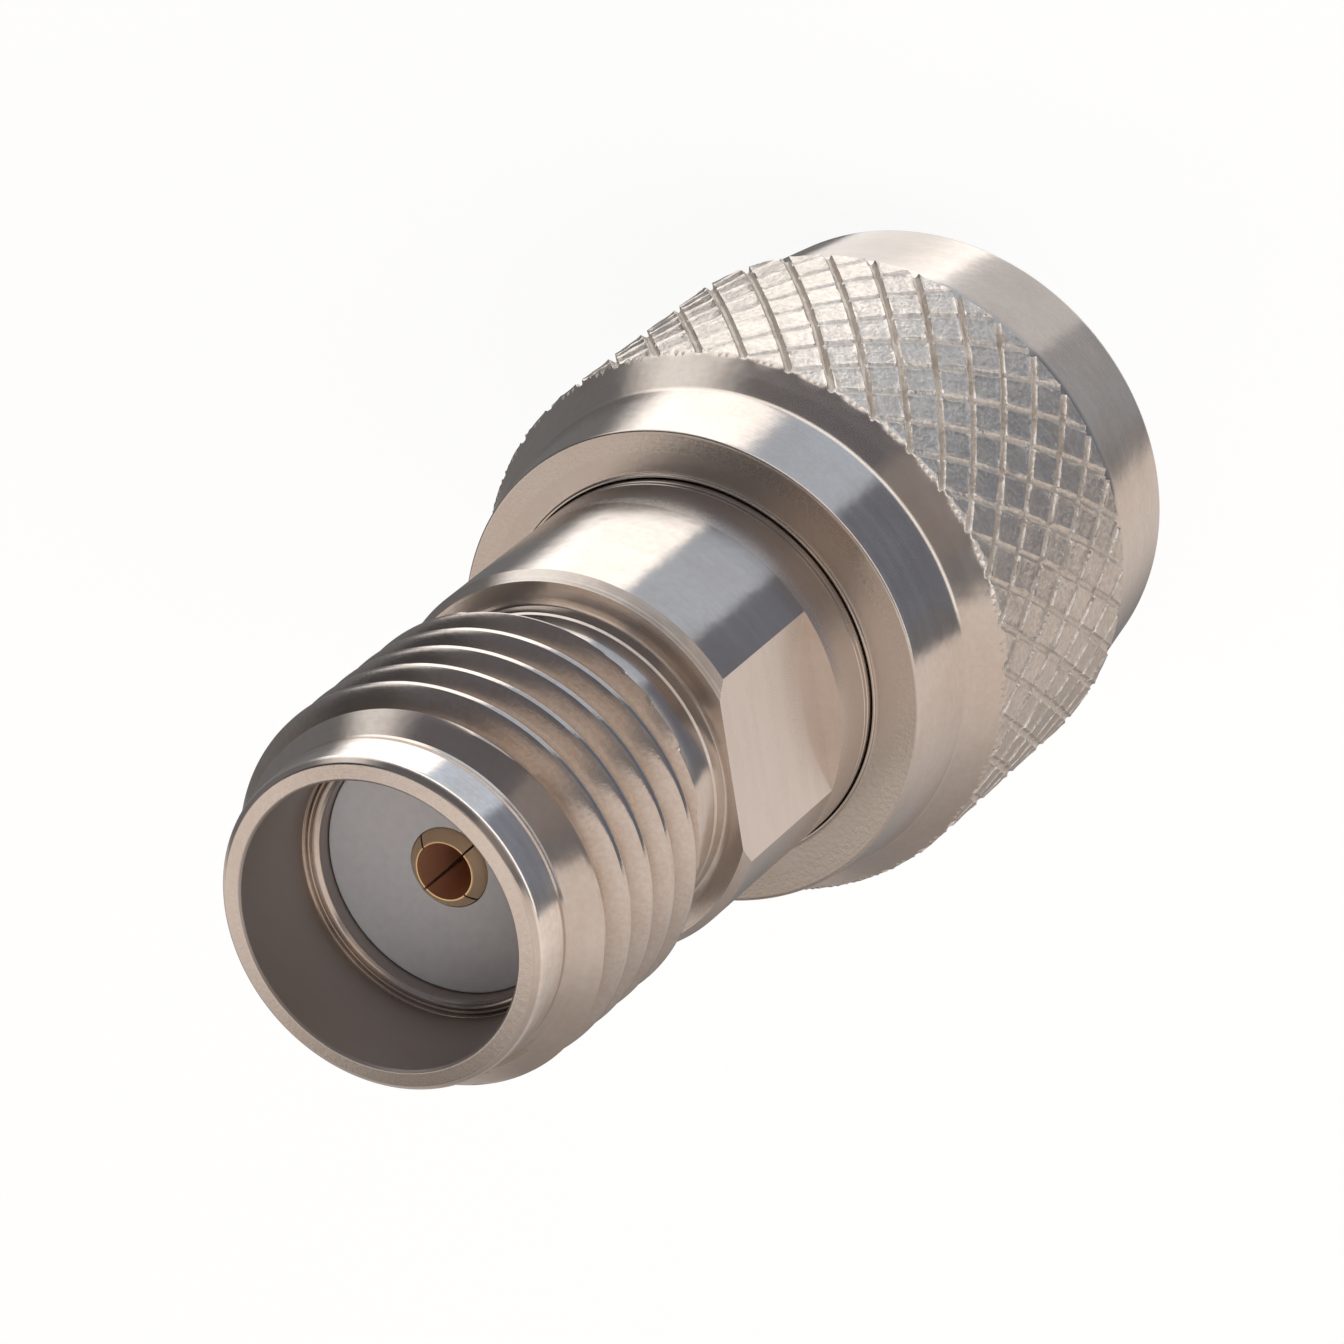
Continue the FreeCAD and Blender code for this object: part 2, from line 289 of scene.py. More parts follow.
def direction(azimuth_deg: float, elevation_deg: float) -> Vector:
    """Unit vector toward a point of the compass and an elevation.

    Args:
        azimuth_deg: Angle round +Z from +X.
        elevation_deg: Angle above the horizon.

    Returns:
        The vector.
    """
    azimuth, elevation = math.radians(azimuth_deg), math.radians(elevation_deg)
    flat = math.cos(elevation)
    return Vector((math.cos(azimuth) * flat, math.sin(azimuth) * flat, math.sin(elevation)))


def tinted(colour: Colour, share: float) -> Colour:
    """A colour made brighter or darker."""
    return tuple(share * part for part in colour)


def turned_draft(profile: Sequence[Corner], columns: int) -> Draft:
    """Solid of revolution of a closed profile.

    Args:
        profile: Corners as for softened().
        columns: Points round each ring.

    Returns:
        The draft of the piece.
    """
    corners = softened(profile)
    angles = np.arange(columns) * FULL_TURN / columns
    rings = np.stack([circle(r, z, angles) for r, z, _ in corners + corners[:1]])
    draft = Draft()
    draft.add_rings(rings, [int(c[2]) for c in corners])
    return draft


def hashed(*keys: np.ndarray) -> np.ndarray:
    """Repeatable noise from whole numbers.

    Args:
        keys: Arrays of whole numbers of one shape.

    Returns:
        Values between -1 and 1 of that shape.
    """
    total = np.zeros(np.shape(keys[0]))
    for number, key in enumerate(keys):
        total = total + np.asarray(key) * (12.9898 + 65.1373 * number)
    return 2 * np.modf(np.abs(np.sin(total) * 43758.5453))[0] - 1


def value_noise(x: np.ndarray, y: np.ndarray, period: int, seed: int) -> np.ndarray:
    """Smooth noise on a plane that repeats along x.

    Args:
        x: First coordinate, in cells.
        y: Second coordinate, in cells.
        period: Cells after which x repeats.
        seed: Number that makes this noise differ from another.

    Returns:
        Values between -1 and 1.
    """
    column, row = np.floor(x).astype(int), np.floor(y).astype(int)
    across, up = x - column, y - row
    across, up = across * across * (3 - 2 * across), up * up * (3 - 2 * up)
    corners = [hashed((column + i) % period, row + j, np.full(column.shape, seed)) for j in (0, 1) for i in (0, 1)]
    low = corners[0] * (1 - across) + corners[1] * across
    high = corners[2] * (1 - across) + corners[3] * across
    return low * (1 - up) + high * up


def cut_boxes(piece: bpy.types.Object, boxes: Sequence[Matrix], narrowing: float = 1.0) -> None:
    """Cuts unit cubes placed by matrices out of a piece.

    Args:
        piece: The piece to cut.
        boxes: Matrix in metres of each cube.
        narrowing: Width of a cube's top against its bottom.
    """
    cutters = []
    for matrix in boxes:
        cube = bmesh.new()
        bmesh.ops.create_cube(cube, size=1.0)
        for corner in cube.verts:
            corner.co.y *= narrowing if corner.co.z > 0 else 1.0
        cube.transform(matrix)
        mesh = bpy.data.meshes.new("cutter")
        cube.to_mesh(mesh)
        cube.free()
        cutter = bpy.data.objects.new("cutter", mesh)
        bpy.context.scene.collection.objects.link(cutter)
        cutters.append(cutter)
        step = piece.modifiers.new("cut", "BOOLEAN")
        step.operation, step.solver, step.object = "DIFFERENCE", "EXACT", cutter
    bpy.context.view_layer.update()
    shown = piece.evaluated_get(bpy.context.evaluated_depsgraph_get())
    result = bpy.data.meshes.new_from_object(shown)
    piece.modifiers.clear()
    piece.data = result
    for cutter in cutters:
        bpy.data.objects.remove(cutter)


# Finishes


class Sheet:
    """Short names for the nodes of one node tree."""

    def __init__(self, tree: bpy.types.NodeTree) -> None:
        """Empties the tree and keeps it."""
        self.tree = tree
        tree.nodes.clear()

    def node(self, kind: str, **settings: object) -> bpy.types.Node:
        """Adds a node.

        Args:
            kind: Blender's name for the type.
            settings: Attributes to set on it.

        Returns:
            The node.
        """
        made = self.tree.nodes.new(kind)
        for name, value in settings.items():
            setattr(made, name, value)
        return made

    def feed(self, socket: Socket, value: object) -> None:
        """Links a socket to another, or sets its own value.

        Args:
            socket: The input.
            value: Socket, number, vector or colour.
        """
        if isinstance(value, Socket):
            self.tree.links.new(value, socket)
        else:
            socket.default_value = value

    def math(self, operation: str, first: object, second: object = 0.0, third: object = 0.0) -> Socket:
        """One arithmetic step.

        Args:
            operation: Blender's name for it.
            first: Socket or number.
            second: Socket or number.
            third: Socket or number.

        Returns:
            The result.
        """
        step = self.node("ShaderNodeMath", operation=operation)
        for socket, value in zip(step.inputs, (first, second, third)):
            self.feed(socket, value)
        return step.outputs[0]

    def product(self, *values: object) -> Socket:
        """Multiplies two or more values.

        Args:
            values: Sockets or numbers.

        Returns:
            The product.
        """
        result = values[0]
        for value in values[1:]:
            result = self.math("MULTIPLY", result, value)
        return result

    def line(self, value: object, slope: float, base: object) -> Socket:
        """A straight line: the value times a slope, plus a base."""
        return self.math("MULTIPLY_ADD", value, slope, base)

    def rest(self, share: object) -> Socket:
        """What a share leaves of one."""
        return self.math("SUBTRACT", 1.0, share)

    def beyond(self, value: object, start: float, reach: Optional[float] = None) -> Socket:
        """How far a value lies past a start.

        Args:
            value: Socket or number.
            start: Where the result leaves 0.
            reach: Largest result, if there is one.

        Returns:
            The distance.
        """
        past = self.math("MAXIMUM", self.math("ADD", value, -start), 0.0)
        return past if reach is None else self.math("MINIMUM", past, reach)

    def rise(self, value: object, low: object, high: object, start: object = 0.0, end: object = 1.0) -> Socket:
        """A soft step.

        Args:
            value: Socket or number.
            low: Where the step starts.
            high: Where the step ends.
            start: Result below the step.
            end: Result above the step.

        Returns:
            The result.
        """
        step = self.node("ShaderNodeMapRange", interpolation_type="SMOOTHSTEP")
        for name, item in zip(("Value", "From Min", "From Max", "To Min", "To Max"), (value, low, high, start, end)):
            self.feed(step.inputs[name], item)
        return step.outputs["Result"]

    def span(self, value: object, start: float, full: float, fade: float, end: float) -> Socket:
        """A soft range: 0 outside it and 1 inside.

        Args:
            value: Socket or number.
            start: Where it starts to rise.
            full: Where it reaches 1.
            fade: Where it starts to fall.
            end: Where it is back at 0.

        Returns:
            The result.
        """
        return self.product(self.rise(value, start, full), self.rise(value, end, fade))

    def mix(self, share: object, first: object, second: object) -> Socket:
        """Blends two colours.

        Args:
            share: How much of the second.
            first: Socket or colour.
            second: Socket or colour.

        Returns:
            The blended colour.
        """
        step = self.node("ShaderNodeMix", data_type="RGBA")
        self.feed(step.inputs[0], share)
        for socket, value in ((step.inputs[6], first), (step.inputs[7], second)):
            self.feed(socket, value if isinstance(value, Socket) else (*value, 1.0))
        return step.outputs[2]

    def noise(self, vector: object, scale: float, detail: float = 3.0, rough: float = 0.55) -> Socket:
        """Noise texture value.

        Args:
            vector: Where to read it.
            scale: Cells to the millimetre.
            detail: Finer layers.
            rough: Strength of the finer layers.

        Returns:
            The value, around one half.
        """
        texture = self.node("ShaderNodeTexNoise")
        self.feed(texture.inputs["Vector"], vector)
        for name, value in (("Scale", scale), ("Detail", detail), ("Roughness", rough)):
            texture.inputs[name].default_value = value
        return texture.outputs[0]

    def place(self) -> tuple[Socket, ...]:
        """Place on the piece in millimetres.

        Returns:
            The point, its radius from the axis and its height.
        """
        scaled = self.node("ShaderNodeVectorMath", operation="SCALE")
        self.feed(scaled.inputs[0], self.node("ShaderNodeTexCoord").outputs["Object"])
        scaled.inputs["Scale"].default_value = 1 / MM
        split = self.node("ShaderNodeSeparateXYZ")
        self.feed(split.inputs[0], scaled.outputs[0])
        x, y, height = split.outputs
        square = self.math("MULTIPLY_ADD", y, y, self.math("POWER", x, 2.0))
        return scaled.outputs[0], self.math("SQRT", square), height

    def join(self, *parts: object) -> Socket:
        """Makes a vector.

        Args:
            parts: Up to three sockets or numbers.

        Returns:
            The vector.
        """
        made = self.node("ShaderNodeCombineXYZ")
        for socket, value in zip(made.inputs, parts):
            self.feed(socket, value)
        return made.outputs[0]

    def bump(self, height: object, depth_mm: float, normal: Optional[object] = None) -> Socket:
        """Fine relief.

        Args:
            height: Value from 0 to 1.
            depth_mm: What 1 stands for.
            normal: Relief that this one adds to.

        Returns:
            The changed normal.
        """
        made = self.node("ShaderNodeBump")
        made.inputs["Strength"].default_value = 1.0
        made.inputs["Distance"].default_value = depth_mm * MM
        self.feed(made.inputs["Height"], height)
        if normal is not None:
            self.feed(made.inputs["Normal"], normal)
        return made.outputs[0]


def surface(name: str) -> tuple[bpy.types.Material, Sheet, bpy.types.Node]:
    """A new material with its shader.

    Args:
        name: Name of the material.

    Returns:
        The material, its sheet and the principled shader.
    """
    material = bpy.data.materials.new(name)
    material.use_nodes = True
    sheet = Sheet(material.node_tree)
    shader = sheet.node("ShaderNodeBsdfPrincipled")
    sheet.feed(sheet.node("ShaderNodeOutputMaterial").inputs[0], shader.outputs[0])
    return material, sheet, shader


@dataclass(frozen=True)
class TurnedMetal:
    """Metal with the fine rings that a lathe leaves, or with a plain grain, and with a crest radius a painted shade
    or highlight in its valleys.
    """

    name: str
    tint: Colour = (0.70, 0.645, 0.60)
    stain: Colour = (0.52, 0.42, 0.34)
    stain_share: float = 0.25
    roughness: float = 0.17
    roughness_spread: float = 0.05
    ring_lines: float = 24.0
    ring_depth: float = 0.0006
    grain: float = 9.0
    grain_depth: float = 0.0004
    swell: float = 0.9
    swell_depth: float = 0.0015
    stretch: float = 0.8
    mottle: float = 0.0
    cloud: float = 0.55
    metallic: float = 1.0
    crest_radius: float = 0.0
    valley_depth: float = 0.1
    valley_roughness: float = 0.0
    valley_painted_shade: float = 0.0

    def material(self) -> bpy.types.Material:
        """Builds the node material of this finish.

        Returns:
            The material.
        """
        material, sheet, shader = surface(self.name)
        point, radius, height = sheet.place()
        lines = sheet.noise(sheet.join(radius, height), self.ring_lines, 2.0, 0.6)
        wide = sheet.noise(sheet.join(radius, height), self.ring_lines / WIDE_RINGS, 1.0, 0.5)
        grain = sheet.noise(point, self.grain, 4.0, 0.6)
        swell = sheet.noise(point, self.swell, 2.0, 0.5)
        cloud = sheet.noise(point, self.cloud, 4.0, 0.6)
        share = sheet.rise(cloud, 0.42, 0.68, 0.0, self.stain_share)
        share = sheet.math("ADD", share, sheet.rise(lines, 0.3, 0.7, 0.0, self.stain_share * 0.3))
        share = sheet.math("ADD", share, sheet.rise(grain, 0.35, 0.65, 0.0, self.mottle))
        # Below the crests the colour moves toward the stain colour by valley_painted_shade: painted shade in the
        # thread's roots, which leaves the crests as painted highlight lines.
        valley: object = 0.0
        if self.crest_radius:
            valley = sheet.rise(radius, self.crest_radius - CREST_PLAIN_DEPTH, self.crest_radius - self.valley_depth)
            share = sheet.math("MULTIPLY_ADD", valley, self.valley_painted_shade, share)
        sheet.feed(shader.inputs["Base Color"], sheet.mix(share, self.tint, self.stain))
        rough = sheet.math("MULTIPLY_ADD", grain, self.roughness_spread, self.roughness - self.roughness_spread / 2)
        rough = sheet.math("MULTIPLY_ADD", sheet.rise(wide, 0.35, 0.65), self.roughness_spread / 2, rough)
        rough = sheet.math("MULTIPLY_ADD", valley, self.valley_roughness, rough)
        sheet.feed(shader.inputs["Roughness"], rough)
        normal = sheet.bump(swell, self.swell_depth)
        normal = sheet.bump(grain, self.grain_depth, normal)
        both = sheet.math("MULTIPLY_ADD", wide, 0.6, lines)
        normal = sheet.bump(both, self.ring_depth, normal)
        sheet.feed(shader.inputs["Normal"], normal)
        shader.inputs["Metallic"].default_value = self.metallic
        shader.inputs["Anisotropic"].default_value = self.stretch
        shader.inputs["Anisotropic Rotation"].default_value = 0.25
        return material


@dataclass(frozen=True)
class Plastic:
    """Turned white or coloured polymer."""

    name: str
    tint: Colour
    shade: Colour
    roughness: float
    scatter: float = 0.0
    grain: float = 6.0
    grain_depth: float = 0.0015

    def material(self) -> bpy.types.Material:
        """Builds the node material of this finish.

        Returns:
            The material.
        """
        material, sheet, shader = surface(self.name)
        point, radius, height = sheet.place()
        lines = sheet.noise(sheet.join(radius, height), PLASTIC_LINES, 2.0, 0.5)
        grain = sheet.noise(point, self.grain, 3.0, 0.6)
        sheet.feed(shader.inputs["Base Color"], sheet.mix(sheet.rise(grain, 0.35, 0.7), self.tint, self.shade))
        sheet.feed(shader.inputs["Roughness"], sheet.math("MULTIPLY_ADD", grain, 0.1, self.roughness - 0.05))
        normal = sheet.bump(grain, self.grain_depth)
        sheet.feed(shader.inputs["Normal"], sheet.bump(lines, PLASTIC_LINE_DEPTH, normal))
        shader.inputs["Subsurface Weight"].default_value = self.scatter
        shader.inputs["Subsurface Scale"].default_value = SCATTER_MM * MM
        return material


FINE_TURNED = TurnedMetal("fine_turned_steel", mottle=0.12, swell=1.7, swell_depth=0.006, ring_depth=0.0009)
# Turned steel copied with a far lighter tint for the nose band: a painted highlight.
NOSE_HIGHLIGHT_STEEL = replace(FINE_TURNED, name="nose_painted_highlight_steel", tint=(0.97, 0.91, 0.86), roughness=0.18)
MILLED = TurnedMetal(
    "milled_steel", tint=(0.80, 0.735, 0.69), roughness=0.25, stretch=0.2, stain_share=0.06, swell_depth=0.0,
    ring_depth=0.0001,
)
FACED = TurnedMetal(
    "faced_steel", tint=(0.73, 0.67, 0.62), roughness=0.27, ring_lines=30.0, ring_depth=0.0008, stretch=0.5,
    stain_share=0.15, mottle=0.1, grain=12.0, grain_depth=0.003,
)
# Faced steel copied with a darker tint for the nut's faces: painted shade.
FACED_SHADE_STEEL = replace(FACED, name="faced_painted_shade_steel", tint=(0.60, 0.55, 0.505))
BORE = TurnedMetal("bored_steel", tint=(0.50, 0.46, 0.44), roughness=0.46, stretch=0.3, stain_share=0.15)
# Threaded steel: real brown stain clouds, plus roots painted darker and browner, a painted shade that leaves the
# crests painted bright.
THREADED = TurnedMetal(
    "threaded_steel", roughness=0.14, stretch=0.6, stain=(0.50, 0.38, 0.29), stain_share=0.15, mottle=0.18,
    cloud=1.6, grain=13.0, grain_depth=0.0018, crest_radius=3.172, valley_depth=0.3, valley_roughness=0.1,
    valley_painted_shade=0.35,
)
# Knurled steel: a negative valley share paints its grooves lighter, a painted highlight.
KNURLED = TurnedMetal(
    "knurled_steel", tint=(0.78, 0.725, 0.665), stain=(0.46, 0.40, 0.35), roughness=0.29, roughness_spread=0.14,
    stretch=0.0, ring_depth=0.0, grain=11.0, grain_depth=0.02, stain_share=0.15, mottle=0.38, swell_depth=0.0,
    crest_radius=4.565, valley_depth=0.04, valley_roughness=0.4, valley_painted_shade=-0.3,
)
GOLD_PLATED = TurnedMetal(
    "gold_plated", tint=(0.90, 0.66, 0.32), stain=(0.66, 0.40, 0.17), roughness=0.2, stain_share=0.4, stretch=0.3
)
# Darker, duller, less metallic gold for the socket's chamfer.
DARK_DULL_GOLD = TurnedMetal(
    "dark_dull_gold", tint=(0.76, 0.58, 0.40), stain=(0.60, 0.42, 0.27), roughness=0.5, stain_share=0.4, stretch=0.0,
    metallic=0.55,
)
# Gold copied darker, redder and less metallic for the inside of the socket's hole: painted shade.
HOLE_SHADE_GOLD = TurnedMetal(
    "hole_painted_shade_gold", tint=(0.78, 0.45, 0.29), stain=(0.62, 0.32, 0.19), roughness=0.5, stain_share=0.4, stretch=0.0,
    metallic=0.35,
)
SPRING_METAL = TurnedMetal("spring_metal", tint=(0.72, 0.50, 0.28), stain=(0.45, 0.28, 0.14), roughness=0.3)
# White PTFE given a grey tint for the shade of the mouth it sits in: painted shade.
INSULATOR_SHADED_WHITE = Plastic("insulator_painted_shade", (0.68, 0.69, 0.72), (0.64, 0.65, 0.68), 0.40, scatter=0.25)
SEAL_RED = Plastic("seal_red", (0.38, 0.045, 0.025), (0.30, 0.035, 0.02), 0.5, grain=10.0)


def dress(piece: bpy.types.Object, finishes: Sequence[bpy.types.Material]) -> None:
    """Gives a piece its materials, in the order of its finish numbers."""
    for finish in finishes:
        piece.data.materials.append(finish)


def fasten(piece: bpy.types.Object, body: Body, slot: Slot, node: str) -> None:
    """Lets a piece ride on a body in the place of a node of the frame.

    Args:
        piece: The finished piece.
        body: Body that it moves with.
        slot: Material slot of the record; not used.
        node: Node that it stands for.
    """
    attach(piece, body.value)
    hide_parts(node)
    triangles = sum(len(p.vertices) - 2 for p in piece.data.polygons)
    LOG.info("%s stands for %s with %d triangles", piece.name, node, triangles)


@dataclass
class ThreadForm:
    """A 60 degree thread, right-hand, given as crest depth against the place within one pitch."""

    pitch: float = 25.4 / 36
    depth: float = 0.43
    crest_share: float = 0.18
    root_share: float = 0.116
    back_parts: int = 5
    fullness: float = 1.12
    crest_places: tuple[float, ...] = (0.0, 0.012, 0.03, 0.12, 0.15, 0.17, 0.18)
    crest_falls: tuple[float, ...] = (0.013, 0.006, 0.0035, 0.0, 0.004, 0.015, 0.03)
    front_places: tuple[float, ...] = (0.0, 0.18, 0.36, 0.52, 0.66, 0.78, 0.88, 0.95)
    root_round: float = 0.3
    root_lift: float = 0.02

    def flank(self) -> float:
        """Share of the pitch that one flank takes."""
        return (1 - self.crest_share - self.root_share) / 2

    def root_places(self) -> list[float]:
        """Places within one pitch where the root starts, is deep and rises again.

        Returns:
            The three places.
        """
        root = self.crest_share + self.flank()
        rounding = self.root_round * self.root_share
        return [root, root + rounding, root + self.root_share - rounding]

    def marks(self) -> np.ndarray:
        """Places within one pitch where the form bends or needs a point.

        Returns:
            The places in order.
        """
        flank = self.flank()
        back = self.crest_share + flank * np.arange(1, self.back_parts) / self.back_parts
        front = self.crest_share + flank + self.root_share + flank * np.array(self.front_places)
        return np.concatenate([self.crest_places, back, self.root_places(), front])

    def fall(self, place: np.ndarray) -> np.ndarray:
        """Depth below the crest.

        Args:
            place: Place within the pitch, 0 at the crest's first edge.

        Returns:
            Depth in millimetres.
        """
        flank, climb, first = self.flank(), np.array(self.front_places), self.crest_falls[0]
        deep, near = self.depth, self.depth - self.root_lift
        front = self.crest_share + flank + self.root_share + flank * climb
        at = np.concatenate([self.crest_places, self.root_places(), front, [1.0]])
        rising = first + (near - first) * (1 - climb) ** self.fullness
        low = np.concatenate([self.crest_falls, [near, deep, deep], rising, [first]])
        return np.interp(np.mod(place, 1.0), at, low)

    def rings(
        self, helix: np.ndarray, angles: np.ndarray, span: Corner, ends: Corner, radius_at: Callable
    ) -> tuple[np.ndarray, int]:
        """Rings that follow the helix from the top down.

        Args:
            helix: Height of the helix's start at each angle.
            angles: Angles of the columns.
            span: Lowest and highest place of the thread.
            ends: Radius from the lowest place down and from the highest place up.
            radius_at: Gives the radius for a depth below the crest and a height.

        Returns:
            The rings and the rings that one turn moves on by.
        """
        marks, (low, top) = self.marks(), span
        rings = []
        for turn in range(math.ceil((top - low) / self.pitch) + 5):
            for mark in marks:
                height = helix - (turn + mark) * self.pitch
                held = np.clip(height, low, top)
                radius = radius_at(self.fall((helix - held) / self.pitch), held)
                radius = np.where(height <= low, ends[0], np.where(height >= top, ends[1], radius))
                rings.append(circle(radius, held, angles))
        return np.stack(rings), len(marks)


@dataclass
class JackBody:
    """Turned body: rim, mouth, nose, thread, relief, collar with flats, neck inside the nut."""

    length: float = 18.9
    mouth_radius: float = 2.305
    shoulder: float = 16.97
    rim_radius: float = 2.58
    rim_fall: float = 0.036
    nose_radius: float = 2.68
    nose_end: float = 18.0
    crest_radius: float = 3.175
    thread_end: float = 14.29
    relief_radius: float = 2.64
    relief_end: float = 12.82
    collar_radius: float = 3.17
    face_radius: float = 3.05
    chamfer: float = 0.2
    flat_half: float = 2.8
    flat_end: float = 9.85
    plug_face: float = 5.0
    line_radius: float = 2.05
    wide_radius: float = 2.30
    wide_top: float = 15.5
    seat_radius: float = 2.60
    seat_top: float = 6.2
    groove_radius: float = 2.75
    groove_low: float = 6.4
    groove_high: float = 7.0
    first_crest_depth: float = 1.02
    first_crest_angle: float = math.radians(-27.7)
    lead_softness: float = 0.035
    run_out_softness: float = 0.02
    run_out_slope: float = 9.0
    relief_shoulder: float = 0.1
    rim_width: float = 0.13
    end_chamfer: float = 0.2
    chamfer_parts: int = 5
    columns: int = 360
    form: ThreadForm = field(default_factory=ThreadForm)
    shoulder_rings: tuple[Corner, ...] = (
        (2.280, 0.0, 0), (2.266, 0.06, 0), (2.244, 0.01, 0.012), (2.214, 0.01, 0.012), (2.192, 0.07, 0),
        (2.168, 0.01, 0.012), (2.12, 0.02, 0.02),
    )
    relief_steps: tuple[tuple[float, float], ...] = (
        (13.98, 0.0), (13.95, -0.018), (13.72, -0.018), (13.69, -0.004), (13.40, -0.004), (13.37, -0.022),
        (13.10, -0.022), (13.06, 0.0),
    )
    tool_marks: tuple[float, ...] = (8.945, 9.045)
    mark_depth: float = 0.014
    mark_half: float = 0.015

    def angles(self) -> np.ndarray:
        """Angles of the columns, with whole columns on the edges of the flats.

        Returns:
            The angles.
        """
        quarter = self.columns // 4
        edge = math.acos(self.flat_half / self.collar_radius)
        inside = round(edge / FULL_TURN * self.columns)
        offsets = []
        for step in range(-quarter, quarter):
            share = abs(step)
            if share <= inside:
                offset = edge * share / inside
            else:
                offset = edge + (share - inside) / (quarter - inside) * (math.pi / 2 - edge)
            offsets.append(math.copysign(offset, step))
        half = np.array(offsets)
        return np.concatenate([half + math.pi / 2, half + 3 * math.pi / 2])

    def cut_ring(self, radius: float, height: float) -> np.ndarray:
        """A ring that the two flats cut across.

        Args:
            radius: Radius of the ring.
            height: Height of the ring.

        Returns:
            Its points, with whole columns on the edges of the flats.
        """
        ring = circle(radius, height, self.angles())
        if radius <= self.flat_half:
            return ring
        edge = math.acos(self.flat_half / self.collar_radius)
        own = math.acos(self.flat_half / radius)
        reach = math.sqrt(radius**2 - self.flat_half**2)
        for index, angle in enumerate(self.angles()):
            side = 1.0 if angle < math.pi else -1.0
            offset = angle - side * math.pi / 2 - (math.pi * 2 if side < 0 else 0)
            share = abs(offset)
            turn = math.copysign(1.0, offset)
            if share <= edge + 1e-9:
                along = -turn * side * reach * share / edge
                ring[index] = (along, side * self.flat_half, height)
            else:
                away = own + (share - edge) / (math.pi / 2 - edge) * (math.pi / 2 - own)
                new = side * math.pi / 2 + turn * away
                ring[index] = (radius * math.cos(new), radius * math.sin(new), height)
        return ring

    def thread_rings(self) -> tuple[np.ndarray, int]:
        """Rings that follow the helix between nose and relief.

        Returns:
            The rings from the top down and the rings that one turn moves on by.
        """
        top, low = self.nose_end, self.thread_end
        foot = self.relief_radius + self.relief_shoulder

        def radius_at(fall: np.ndarray, held: np.ndarray) -> np.ndarray:
            """Radius of the thread between its lead and its run-out.

            Args:
                fall: Depth below the crest.
                held: Height.

            Returns:
                The radius.
            """
            lead, run_out = self.nose_radius + (top - held), foot + (held - low) * self.run_out_slope
            begun = softer_of(self.crest_radius - fall, lead, self.lead_softness)
            return softer_of(begun, run_out, self.run_out_softness)

        angles = self.angles()
        start = self.length - self.first_crest_depth + 2 * self.form.pitch
        helix = start + self.form.pitch * (angles - self.first_crest_angle) / FULL_TURN
        return self.form.rings(helix, angles, (low, top), (foot, self.nose_radius), radius_at)

    def mouth_section(self) -> list[Corner]:
        """Section from the mouth's edge over the rim and the nose down to the thread.

        Returns:
            Corners as (radius, height, finish).
        """
        turned, lesser = BodyFace.TURNED, self.nose_radius - 0.014
        corners = softened(
            [
                (self.mouth_radius + 0.04, self.length, 0.012, BodyFace.FACED),
                (self.rim_radius, self.length - self.rim_fall, 0.02, turned),
                # The band from the rim down the nose takes the painted-highlight steel.
                (self.nose_radius - 0.008, self.length - self.rim_width, 0.04, BodyFace.NOSE),
                (self.nose_radius + 0.008, self.nose_end + 0.16, 0.01, turned),
                (lesser, self.nose_end + 0.06, 0.02, turned),
                (self.nose_radius, self.nose_end, 0, turned),
                (self.nose_radius, self.shoulder, 0, turned),
                (self.mouth_radius, self.shoulder, 0, BodyFace.BORE),
                (self.mouth_radius, self.length - 0.04, 0.01, BodyFace.BORE),
            ]
        )
        seen = [c for c in corners if c[1] >= self.nose_end - 1e-6]
        split = next(i for i, c in enumerate(seen) if c[1] <= self.nose_end + 1e-6) + 1
        inner = [c for c in seen[split:] if c[0] < self.nose_radius - 0.2]
        return inner + seen[:split]

    def relief_section(self) -> list[tuple[float, float]]:
        """Section of the relief between the thread and the collar, with its tool steps.

        Returns:
            Corners as (radius, height).
        """
        radius, low, high = self.relief_radius, self.relief_end, self.thread_end
        run_out = [(radius + self.relief_shoulder, high), (radius + 0.03, high - 0.06), (radius, high - 0.14)]
        steps = [(radius + rise, height) for height, rise in self.relief_steps]
        fillet = [(radius, low + 0.08), (radius + 0.02, low + 0.02), (radius + 0.06, low), (self.flat_half, low)]
        return run_out + steps + fillet

    def inner_section(self) -> list[Corner]:
        """Section from the mouth's bore through the body and up the neck to the flats.

        Returns:
            Corners as (radius, height, finish).
        """
        turned, bore = BodyFace.TURNED, BodyFace.BORE
        collar, groove, shoulder = self.collar_radius, self.groove_radius, self.shoulder
        marks: list[Corner] = []
        for middle in self.tool_marks:
            for offset, fall in ((-self.mark_half, 0.0), (0.0, self.mark_depth), (self.mark_half, 0.0)):
                marks.append((collar - fall, middle + offset, 0, turned))
        corners = softened(
            [
                (self.mouth_radius, self.length - 0.1, 0, bore),
                (self.mouth_radius, shoulder, 0.02, turned),
                *((radius, shoulder - fall, rounding, turned) for radius, fall, rounding in self.shoulder_rings),
                (self.line_radius, shoulder - 0.07, 0.02, bore),
                (self.line_radius, self.wide_top, 0, bore),
                (self.wide_radius, self.wide_top, 0, bore),
                (self.wide_radius, self.seat_top, 0, bore),
                (self.seat_radius, self.seat_top, 0, bore),
                (self.seat_radius, self.plug_face, 0.02, BodyFace.FACED),
                (collar - self.end_chamfer, self.plug_face, 0.03, turned),
                (collar, self.plug_face + self.end_chamfer, 0.03, turned),
                (collar, self.groove_low, 0, turned),
                (groove, self.groove_low, 0, turned),
                (groove, self.groove_high, 0, turned),
                (collar, self.groove_high, 0, turned),
                *marks,
                (collar, self.flat_end, 0, BodyFace.MILLED),
            ]
        )
        return corners[1:]

